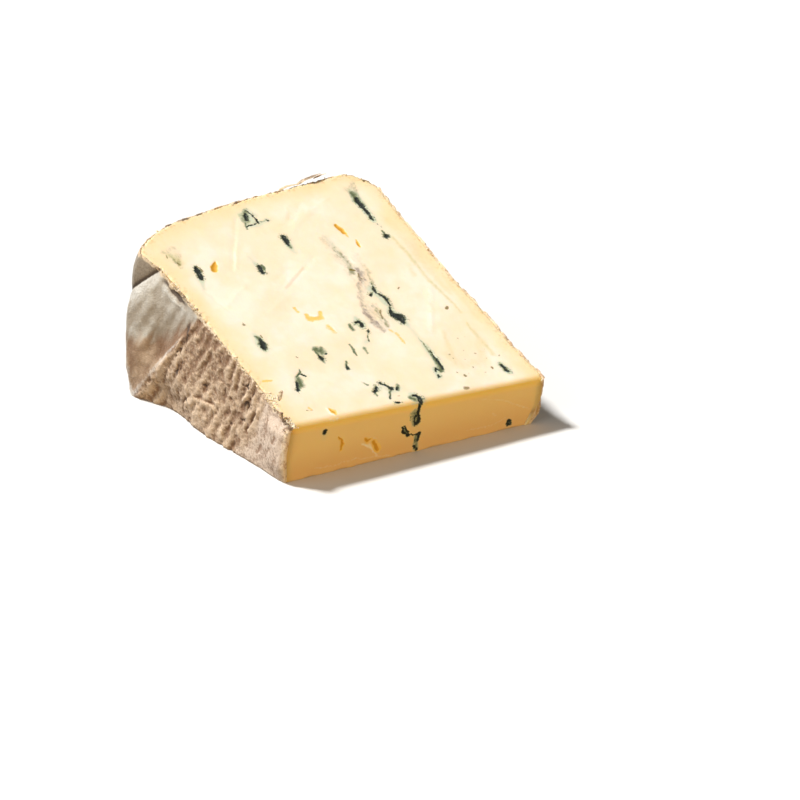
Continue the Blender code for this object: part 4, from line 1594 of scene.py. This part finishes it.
    def right_skin(self, points: Array) -> dict[str, Array | float]:
        """Fine relief and colouring of the right face, like the left one without its folds.

        Args:
            points: Points of the plain face, shape (..., 3).

        Returns:
            The height in mm and the levels that the finish reads, at each point.
        """
        y, z = points[..., 1], points[..., 2]
        ribs = self.ribs(y, z, 310)
        drift = lumps(points, 14.0, 320, 2)
        smooth = rise(drift + 0.02 * (y - 84.0), 0.1, 0.5)
        grain = lumps(points, 2.4, 321, 3)
        return {
            "height": ribs["narrow"] * (1.0 - smooth) + ribs["wide"] * smooth + 0.10 * grain,
            "grey": 0.9 * smooth + 0.25 * rise(y, 92.0, 104.0),
            "pink": 0.8 * (1.0 - rise(y + 6.0 * drift, 46.0, 60.0)),
            "chalk_and_highlight": 0.3 * rise(grain, 0.2, 0.9),
            "pit_and_shade": ribs["pits"] * (1.0 - smooth),
            "shade": -0.2 * ribs["streak"] * smooth,
            "calm": 0.5 * smooth,
            "frayed": 0.0,
        }

    def rim_skin(self, points: Array) -> dict[str, Array | float]:
        """Fine relief and colouring of the rim: lumps drawn out round the wheel, grey over brown.

        Args:
            points: Points of the plain rim, shape (..., 3).

        Returns:
            The height in mm and the levels that the finish reads, at each point.
        """
        x, y, z = (points[..., axis] for axis in range(3))
        place = np.stack([x, z, 0.2 * y], axis=-1)
        broad = lumps(place, (5.0, 9.0, 9.0), 410, 2)
        hoops = np.sin(x / 1.15 + 1.6 * lumps(place, (7.0, 10.0, 9.0), 411, 2))
        knots = lumps(place, (1.5, 2.2, 2.0), 412, 3)
        pits = rise(lumps(place, (1.1, 1.7, 2.0), 413, 2), 0.5, 1.0)
        return {
            "height": 0.20 * broad + 0.10 * hoops + 0.16 * knots - 0.35 * pits,
            "grey": np.clip(0.55 + 0.8 * broad, 0.0, 1.0),
            "pink": 0.0,
            "chalk_and_highlight": 0.35 + 0.4 * knots,
            "pit_and_shade": 0.8 * pits,
            "shade": 0.0,
            "calm": 0.0,
            "frayed": 0.0,
        }

    def tear(self, r: Array, place: Array) -> Array:
        """How far below the upper cut each column ends: more past the left face, most in the recess.

        Args:
            r: Radii of the outline at the upper cut, shape (columns,).
            place: Its points, for the noise.

        Returns:
            The drop in mm.
        """
        beyond = rise(COLUMNS, EDGES[1] - 10.0, EDGES[2]) * (1.0 - 0.35 * rise(COLUMNS, EDGES[3], EDGES[4]))
        tear = 0.04 + 0.30 * beyond + 0.35 * np.clip(0.4 + lumps(place, 1.1, 500, 3), 0.0, 1.6)
        tear += 0.6 * rise(lumps(place, 2.3, 501, 2), 0.35, 0.9)
        tear -= 0.42 * rise(COLUMNS, EDGES[4] - 12.0, EDGES[4] + 20.0)
        return tear + 1.1 * self.recess(r * math.cos(self.wedge.angle)) * (COLUMNS < EDGES[1])

    def levels(self, plain: Array) -> dict[str, Array]:
        """Blends the skins of the left face, rim and right face over the shoulders between them.

        Args:
            plain: Points of the plain outside, shape (rows, columns, 3).

        Returns:
            The height in mm and the levels that the finish reads, at each point.
        """
        left = 1.0 - rise(COLUMNS, EDGES[1] - 4.0, EDGES[2] + 6.0)
        right = rise(COLUMNS, EDGES[3] - 6.0, EDGES[4] + 4.0)
        skins = (self.left_skin(plain), self.rim_skin(plain), self.right_skin(plain))
        weights = (left, 1.0 - left - right, right)
        return {name: sum(weight * skin[name] for weight, skin in zip(weights, skins)) for name in skins[0]}

    def inner_rings(self, x: Array, r: Array, tear: Array, place: Array) -> list[Array]:
        """The rings that close the shell: across the torn upper edge, down the inside, and the foot.

        Args:
            x: Lines of the plain outside, shape (rows, columns).
            r: Their radii.
            tear: How far below the upper cut each column ends, in mm.
            place: Each column's place, for the noise.

        Returns:
            Rings of points, each of shape (1, columns, 3).
        """
        angle, rings = self.wedge.angle, []
        for layer, (depth, lift) in enumerate(self.torn_layers):
            torn_x, torn_r = inset(x[-1:], r[-1:], depth * self.thickness)
            drop = tear * (1.0 - 0.5 * depth) - lift - 0.22 * lumps(place, 0.7, 510 + layer, 2)
            rings.append(around(torn_x, torn_r, angle - np.arcsin(drop / torn_r)))
        near_end = 1.0 - rise(np.minimum(COLUMNS, COLUMNS[::-1]), 2.0, 10.0)
        hidden = self.hidden_depth - (self.hidden_depth - self.end_depth) * near_end
        for share, depth in ((0.975, self.thickness), *((share, hidden) for share in self.hidden_rows)):
            turn = np.array([[angle * share]])
            rings.append(around(*inset(*self.wedge.outline(turn, RIND_STEPS), depth), turn))
        return rings + [around(*inset(x[:1], r[:1], 0.7 * hidden), 0.0)]

    def torn(self, place: Array, left_end: Array, rings: int) -> tuple[Array, Array]:
        """Where the rind is torn open, and where what shows there is a cleaner cut end.

        Args:
            place: Each column's place, for the noise.
            left_end: How far each outer point lies from the worn left end, from 0 to 1.
            rings: How many rings the shell has.

        Returns:
            Both levels, shape (rings, columns).
        """
        torn, end = np.zeros((2, rings, len(COLUMNS)))
        torn[self.rows - 3 :] = 1.0
        torn[self.rows - 3 : self.rows - 1] = [[0.3], [0.6]]
        torn *= 0.75 + 0.5 * lumps(place, 1.4, 520, 2)
        dark_bits = rise(lumps(place, 4.0, 521, 2), 0.25, 0.6)
        end[self.rows - 3 :] = rise(COLUMNS, EDGES[1] - 4.0, EDGES[1] + 8.0) * (1.0 - dark_bits)
        end[:, [0, -2, -1]] = (1.0, 0.6, 1.0)
        end[: self.rows] = np.maximum(end[: self.rows], 1.0 - left_end)
        return np.maximum(torn, end), end

    def patches(self, ids: Array, length: Array) -> list[Patch]:
        """The shell's faces: the left outside, the rest of the outside, and the inside.

        Args:
            ids: Vertex numbers, shape (rings, columns).
            length: Length of the outline up to each column, in mm.

        Returns:
            The three grids with their places on the flat map.
        """
        wrapped = np.concatenate([ids, ids[:1]])
        split, facing = EDGES[2], self.rows + 3
        up = np.concatenate([np.linspace(0.0, 0.97, self.rows), [0.98, 0.99, 1.0]])
        inner_up = np.linspace(0.0, 1.0, len(ids) - facing + 2)
        whole, left_part = length / length[-1], length[: split + 1] / length[split]
        other_part = (length[split:] - length[split]) / (length[-1] - length[split])
        return [
            Patch(wrapped[:facing, : split + 1], flat_grid(up, left_part, *self.left_map)),
            Patch(wrapped[:facing, split:], flat_grid(up, other_part, *self.right_map)),
            Patch(wrapped[facing - 1 :], flat_grid(inner_up, whole, *self.inner_map)),
        ]

    def build(self) -> Piece:
        """Makes the closed shell.

        Each column of the outline is a closed ring: up the outside from the lower cut, across the torn
        upper edge, down the inside and back across the foot.

        Returns:
            The rind, carrying its height and colour levels at each point.
        """
        wedge, share = self.wedge, np.linspace(0.0, 1.0, self.rows)[:, None]
        cut_x, cut_r = (line[0] for line in wedge.outline(np.array([[wedge.angle]]), RIND_STEPS))
        place = np.stack([cut_x, cut_r, np.zeros_like(cut_x)], axis=-1)
        tear = self.tear(cut_r, place)
        angles = share * (wedge.angle - np.arcsin(tear / cut_r))
        x, r = wedge.outline(angles, RIND_STEPS)
        plain = around(x, r, angles)
        levels = self.levels(plain)

        left_end = rise(COLUMNS + 1.5 * lumps(plain, 1.6, 530, 2), 1.0, 8.0)
        worn = 0.28 * (1.0 - rise(np.minimum(COLUMNS, COLUMNS[::-1]), 0.0, 2.0)) + 0.3 * (1.0 - left_end)
        worn += 0.25 * (1.0 - rise(share * self.face_height, 0.0, 0.8))
        worn += 0.16 * (1.0 - rise((1.0 - share) * self.face_height, 0.0, 0.9))
        outer = around(*inset(x, r, worn - levels["height"]), angles)
        outer[0, :, 2] = 0.0
        outer[..., 2] = np.maximum(outer[..., 2], 0.0)
        points = np.concatenate([outer, *self.inner_rings(x, r, tear, place)])

        marks = {}
        for name, value in levels.items():
            inner = value[-1] * (0.0 if name in ("grey", "pink") else 1.0)
            marks[name] = np.concatenate([value, np.tile(inner, (len(points) - self.rows, 1))])
        torn, end = self.torn(place, left_end, len(points))
        marks |= {"torn": np.maximum(torn, marks.pop("frayed")), "end": end}
        marks = {name: value.ravel() for name, value in marks.items()}

        ids = np.arange(torn.size).reshape(torn.shape)
        patches = self.patches(ids, trail(x[self.rows // 2], r[self.rows // 2]))
        cap_flat = []
        for column, shift in ((0, 0.972), (-1, 0.985)):
            across, height = points[:, column, 0], points[:, column, 2]
            across = (across - across.min()) / np.ptp(across)
            cap_flat.append(np.column_stack([shift + 0.010 * across, 0.5 + 0.45 * height / height.max()]))
        cap_flat[0] = cap_flat[0][::-1]
        caps = [ids[::-1, 0], ids[:, -1]]
        return Piece("rind", points.reshape(-1, 3), patches, caps, marks, cap_flat, math.radians(75.0))


@dataclass
class Crumbs:
    """Crumbs of paste and rind torn up along the cuts, each a dented ball with twenty faces."""

    wedge: Wedge
    left: int = 260
    corner: int = 110
    recess: int = 130
    rim: int = 80
    right: int = 90
    smallest: float = 0.09
    largest: float = 0.30
    corner_growth: float = 1.6
    line_inset: float = 0.35
    clump_size: int = 7
    clump_spread: float = 2.5
    furthest: tuple = (-0.35, 3.2)
    flattening: float = 0.45
    seed: int = 77

    def ball(self) -> tuple[Array, Array]:
        """An icosahedron of radius 1: the corners of three crossed golden cards.

        Returns:
            Its 12 points, and the three corners of each of its 20 faces: those that lie near each other.
        """
        gold = (1.0 + math.sqrt(5.0)) / 2.0
        cards = np.array([(0.0, a, b * gold) for a in (-1, 1) for b in (-1, 1)])
        points = np.concatenate([np.roll(cards, turn, axis=1) for turn in range(3)]) / math.hypot(1.0, gold)
        faces = []
        for three in itertools.combinations(range(12), 3):
            a, b, c = points[list(three)]
            if max(np.linalg.norm(a - b), np.linalg.norm(b - c), np.linalg.norm(c - a)) < 1.1:
                outward = np.dot(np.cross(b - a, c - a), a) > 0.0
                faces.append(three if outward else three[::-1])
        return points, np.array(faces)

    def places(self, random: np.random.Generator) -> tuple[Array, Array, Array]:
        """Where the crumbs lie, how large they are and how brown.

        Args:
            random: The seeded source of chance.

        Returns:
            Centres (count, 3) in mm, radii and tones from 0 for paste to 1 for brown rind.
        """
        wedge = self.wedge
        outline = wedge.outline(np.array([[wedge.angle]]), RIND_STEPS)
        x, r = (line[0] for line in inset(*outline, self.line_inset))
        nx, nr = np.gradient(r), -np.gradient(x)
        length = np.hypot(nx, nr)
        spans = (
            (self.left, 0, EDGES[1], 0.1, 0.35, 0.2),
            (self.corner, 0, 46, 0.7, 0.8, 0.25),
            (self.corner // 2, 0, 14, 0.1, 0.35, 0.9),
            (self.recess, EDGES[1] - 84, EDGES[1] - 44, -0.05, 0.4, 0.55),
            (self.rim, EDGES[1], EDGES[3], 0.2, 0.25, 0.35),
            (self.right, EDGES[3], EDGES[5] - 1, 0.2, 0.25, 0.35),
        )
        centres, radii, tones = [], [], []
        for count, first, last, inward, spread, brown in spans:
            clumps = random.uniform(first, last, count // self.clump_size)
            at = clumps[random.integers(0, len(clumps), count)]
            at = np.clip(at + random.normal(0.0, self.clump_spread, count), first, last - 1).astype(int)
            across = random.normal(inward, spread, count).clip(*self.furthest)
            size = self.smallest + (self.largest - self.smallest) * random.random(count) ** 2.2
            size *= self.corner_growth if last < 50 else 1.0
            lift = 0.1 * size + random.uniform(-0.08, 0.05, count) - 0.25 * (across < 0.3)
            pace = across / length[at]
            flat = around(x[at] + pace * nx[at], r[at] + pace * nr[at], wedge.angle)
            centres.append(flat + lift[:, None] * wedge.cut_normal())
            radii.append(size)
            tones.append(np.clip(brown - 0.5 * across + random.normal(0.0, 0.2, count), 0.0, 1.0))
        return np.concatenate(centres), np.concatenate(radii), np.concatenate(tones)

    def build(self) -> Piece:
        """Makes all the crumbs as one mesh.

        Each is the ball stretched at random along its own axes, with every corner pushed in or out, turned
        by a random rotation, flattened towards the cut and set at its place.

        Returns:
            The crumbs, carrying their tone at each point.
        """
        random = np.random.default_rng(self.seed)
        ball, faces = self.ball()
        centres, radii, tones = self.places(random)
        count = len(centres)
        spin = np.linalg.qr(random.normal(size=(count, 3, 3)))[0]
        spin *= np.sign(np.linalg.det(spin))[:, None, None]
        stretch = random.uniform(0.5, 1.6, (count, 1, 3))
        dent = random.uniform(0.7, 1.2, (count, 12, 1))
        points = (ball * stretch * dent) @ spin * radii[:, None, None]
        up = self.wedge.cut_normal()
        points = points - self.flattening * (points @ up)[..., None] * up + centres[:, None]
        ids = (faces + 12 * np.arange(count)[:, None, None]).reshape(-1, 3)
        return Piece("rind_crumbs", points.reshape(-1, 3), [], list(ids), {"tone": np.repeat(tones, 12)})


@dataclass(frozen=True)
class Flake:
    """One curled flake: its spine's stops are (u, v, lift) in mm about the upper cut."""

    width: float
    tone: float
    lean: float
    spine: tuple[tuple[float, float, float], ...]


FLAKES = (
    Flake(0.9, 0.75, 0.1, ((2.1, 50.2, 0), (2.8, 51.4, 0.3), (4.1, 52.6, 0.3), (5.1, 53.2, 0))),
    Flake(
        0.7, 0.9, 0.2,
        ((0.4, 40.9, -0.1), (-1.2, 41, 0.7), (-2.4, 42.4, -0.2), (-1.6, 43, -1.8), (-0.2, 41.2, -1.9)),
    ),
    Flake(0.8, 0.85, 0.3, ((0.9, 46.4, 0), (-0.7, 46.2, 0.8), (-1.2, 44.8, 0.3), (-0.2, 43.6, -0.3))),
    Flake(0.6, 0.5, 0.3, ((0.6, 43.4, 0.1), (-0.3, 43.6, 0.6), (-0.6, 42.6, 0.5), (0.3, 42.1, 0.1))),
    Flake(0.8, 0.75, 0.5, ((-0.1, 45.4, -0.3), (0.4, 44.6, 0.6), (0.9, 44, 0.3))),
    Flake(0.9, 0.35, 0.4, ((0, 52.6, -0.2), (0.9, 51.6, 0.3), (1.4, 50, 0))),
    Flake(0.8, 0.9, 0.3, ((10, 114.5, -0.4), (11, 114.8, 0.1), (12.2, 114.7, -0.2))),
    Flake(0.9, 0.95, 0.3, ((13, 114.8, -0.3), (15.5, 115.2, 0.15), (18.6, 115.2, -0.2))),
    Flake(0.8, 0.8, 0.3, ((19.6, 115.3, -0.3), (20.8, 115.6, 0.1), (22, 115.4, -0.2))),
    Flake(0.8, 0.8, 0.3, ((31, 115.8, -0.2), (32.5, 116.3, 0.15), (34, 116, -0.1))),
    Flake(1.1, 0.5, 0.3, ((46, 116.2, -0.2), (48, 116.8, 0.2), (50, 116.6, 0.1), (52, 116.6, -0.1))),
    Flake(1.5, 0.8, 0.5, ((51.5, 116.4, -0.1), (54, 117, 0.5), (56.5, 117.2, 0.9), (59, 116.9, 1.1))),
    Flake(1, 0.6, 0.5, ((57, 116.8, 0.1), (59, 117.1, 0.7), (60.8, 116.8, 0.6))),
    Flake(0.8, 0.55, 0.2, ((71, 103.4, -0.5), (71.2, 102.6, 0), (71, 101.6, -0.5))),
    Flake(0.9, 0.5, 0.2, ((70.5, 84.4, -0.5), (70.9, 83.2, 0.1), (70.6, 81.8, -0.5))),
    Flake(0.9, 0.6, 0.2, ((70.4, 76.4, -0.5), (70.9, 75.6, 0.1), (70.6, 74.4, -0.5))),
    Flake(0.9, 0.45, 0.2, ((70.5, 71.8, -0.5), (70.9, 70.8, 0.1), (70.6, 69.6, -0.5))),
    Flake(0.8, 0.85, 0.2, ((70.6, 67, -0.5), (70.9, 66.4, 0.1), (70.6, 65.6, -0.5))),
    Flake(0.9, 0.5, 0.2, ((70.6, 46, -0.5), (70.9, 45.2, 0.1), (70.6, 43.8, -0.5))),
    Flake(0.9, 0.6, 0.2, ((70.4, 37.2, -0.6), (70.9, 36.2, 0), (70.6, 35.2, -0.5))),
)


@dataclass
class Flakes:
    """Thin curled flakes of rind standing along the cuts."""

    wedge: Wedge
    rings: int = 14
    sides: int = 8
    thickness: float = 0.13
    raggedness: float = 0.45

    def flake(self, flake: Flake, number: int) -> tuple[Array, Array]:
        """Points of one flake and its tone at each.

        The spine is the Bezier curve of its stops. Each ring is a flat ellipse across it, as wide as the
        flake in the middle and narrowing to its ends, with a ragged edge, leaning over along its length.

        Args:
            flake: The flake.
            number: Its number, which seeds its raggedness.

        Returns:
            Points (rings, sides, 3) and tones (rings, sides).
        """
        along = np.linspace(0.0, 1.0, self.rings)[:, None]
        order = len(flake.spine) - 1
        shares = [math.comb(order, n) * along**n * (1 - along) ** (order - n) for n in range(order + 1)]
        up = self.wedge.cut_normal()
        stops = np.array([np.array(self.wedge.on_cut(u, v)) + lift * up for u, v, lift in flake.spine])
        spine = np.concatenate(shares, axis=1) @ stops
        forward = np.gradient(spine, axis=0)
        forward /= np.linalg.norm(forward, axis=1, keepdims=True)
        flat = np.cross(forward, up)
        flat /= np.linalg.norm(flat, axis=1, keepdims=True)
        lean = flake.lean * (0.6 + 0.8 * along)
        across = np.cos(lean) * flat + np.sin(lean) * np.cross(flat, forward)
        through = np.cross(forward, across)
        chance = np.column_stack([along * 7.0, np.full(self.rings, 3.7 * number), np.zeros(self.rings)])
        taper = 0.5 * flake.width * np.clip(np.sin(np.pi * (0.06 + 0.88 * along)) ** 0.6, 0.2, 1.0)
        ragged = (1.0 + self.raggedness * lumps(chance, 1.0, seed, 2)[:, None] for seed in (700, 701))
        left, right = (taper * edge for edge in ragged)
        turn = np.linspace(0.0, 2.0 * math.pi, self.sides, endpoint=False)
        reach = np.where(np.cos(turn) > 0.0, left, right) * np.cos(turn)
        height = 0.5 * self.thickness * np.sin(turn) + 0.25 * (reach / flake.width) ** 2
        points = spine[:, None] + reach[..., None] * across[:, None] + height[..., None] * through[:, None]
        return points, np.clip(flake.tone + 0.35 * lumps(points, 0.6, 702, 2), 0.0, 1.0)

    def build(self) -> Piece:
        """Makes all the flakes as one mesh, each closed at both ends.

        Returns:
            The flakes, carrying their tone at each point.
        """
        points, tones = zip(*(self.flake(flake, number) for number, flake in enumerate(FLAKES)))
        ids = np.arange(len(FLAKES) * self.rings * self.sides).reshape(-1, self.rings, self.sides)[..., ::-1]
        patches = [Patch(np.concatenate([grid, grid[:, :1]], axis=1)) for grid in ids]
        caps = [cap for grid in ids for cap in (grid[0], grid[-1, ::-1])]
        return Piece("rind_flakes", np.reshape(points, (-1, 3)), patches, caps, {"tone": np.ravel(tones)})


@dataclass(frozen=True)
class Lamp:
    """A sun: the way towards it, its strength, how wide its light spreads and its colour."""

    name: str
    towards: tuple[float, float, float]
    strength: float
    spread: float
    colour: tuple[float, float, float] = (1.0, 1.0, 1.0)


@dataclass
class Stage:
    """The pale floor, the light and the camera."""

    floor_half: float = 20.0
    floor_drop: float = 0.00006
    floor_colour: tuple = paint(226, 225, 222)
    aim: tuple = (0.01722, -0.00922, 0.0)
    azimuth: float = math.radians(-36.63)
    elevation: float = math.radians(23.87)
    distance: float = 1.380
    lens: float = 247.5
    lamps: tuple = (
        Lamp("key", (-0.344, 0.416, 0.842), 4.45, math.radians(10.0)),
        Lamp("fill", (-0.93, 0.05, 0.36), 1.05, math.radians(60.0)),
        Lamp("glow", (-0.16, -0.97, -0.12), 1.66, math.radians(80.0), (1.0, 0.66, 0.23)),
    )
    world_strength: float = 0.15

    def lay_floor(self) -> None:
        """Lays a level square that catches shadows and throws no light back."""
        half, height = self.floor_half, -self.floor_drop
        mesh = bpy.data.meshes.new("floor")
        corners = [(x * half, y * half, height) for x, y in ((-1, -1), (1, -1), (1, 1), (-1, 1))]
        mesh.from_pydata(corners, [], [(0, 1, 2, 3)])
        mesh.materials.append(ShaderTree("floor", self.floor_colour).finish({"Roughness": 0.9}))
        sheet = bpy.data.objects.new("floor", mesh)
        bpy.context.scene.collection.objects.link(sheet)
        sheet.visible_diffuse = False
        sheet.visible_glossy = False
        sheet.visible_shadow = False

    def hang_lights(self) -> None:
        """Hangs the suns and lights the sky evenly."""
        for lamp in self.lamps:
            sun = bpy.data.lights.new(lamp.name, "SUN")
            sun.energy = lamp.strength
            sun.angle = lamp.spread
            sun.color = lamp.colour
            holder = bpy.data.objects.new(lamp.name, sun)
            holder.rotation_euler = Vector(lamp.towards).to_track_quat("Z", "Y").to_euler()
            bpy.context.scene.collection.objects.link(holder)
        world = bpy.data.worlds.new("studio")
        world.use_nodes = True
        sky = world.node_tree.nodes["Background"].inputs
        sky["Color"].default_value = (1.0, 1.0, 1.0, 1.0)
        sky["Strength"].default_value = self.world_strength
        bpy.context.scene.world = world

    def set_camera(self) -> None:
        """Sets the camera at its distance from the aim, turned by the azimuth and raised by the elevation."""
        camera = bpy.data.cameras.new("camera")
        camera.lens = self.lens
        camera.sensor_width = 36.0
        camera.clip_end = 100.0
        level = math.cos(self.elevation)
        back = Vector((
            math.sin(self.azimuth) * level,
            -math.cos(self.azimuth) * level,
            math.sin(self.elevation),
        ))
        holder = bpy.data.objects.new("camera", camera)
        holder.location = Vector(self.aim) + back * self.distance
        holder.rotation_euler = back.to_track_quat("Z", "Y").to_euler()
        bpy.context.scene.collection.objects.link(holder)
        bpy.context.scene.camera = holder
        bpy.context.scene.view_settings.view_transform = "Standard"

    def build(self) -> None:
        """Lays the floor, hangs the lights and sets the camera."""
        self.lay_floor()
        self.hang_lights()
        self.set_camera()


def settle(thing: bpy.types.Object, material: bpy.types.Material) -> bpy.types.Object:
    """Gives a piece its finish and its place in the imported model."""
    thing.data.materials.append(material)
    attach(thing, BODY)
    return thing


def main() -> None:
    """Builds every piece in order, then the stage around them."""
    logging.basicConfig(level=logging.INFO, format="%(name)s: %(message)s")
    wedge = Wedge()
    seat = wedge.seat(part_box(NODE))
    log.info("the wheel's axis lies %.3f mm in front of the origin", seat[1])
    paste_finish = PasteFinish().material()
    rind_finish = RindFinish().material()

    paste = settle(Paste(wedge).build().make(seat), paste_finish)
    rind = settle(Rind(wedge).build().make(seat), rind_finish)
    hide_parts(NODE)
    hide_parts(NODE)
    settle(Crumbs(wedge).build().make(seat), CrumbFinish().material("crumbs"))
    settle(Flakes(wedge).build().make(seat), CrumbFinish().material("flakes"))

    Stage().build()


if __name__ == "__main__":
    main()
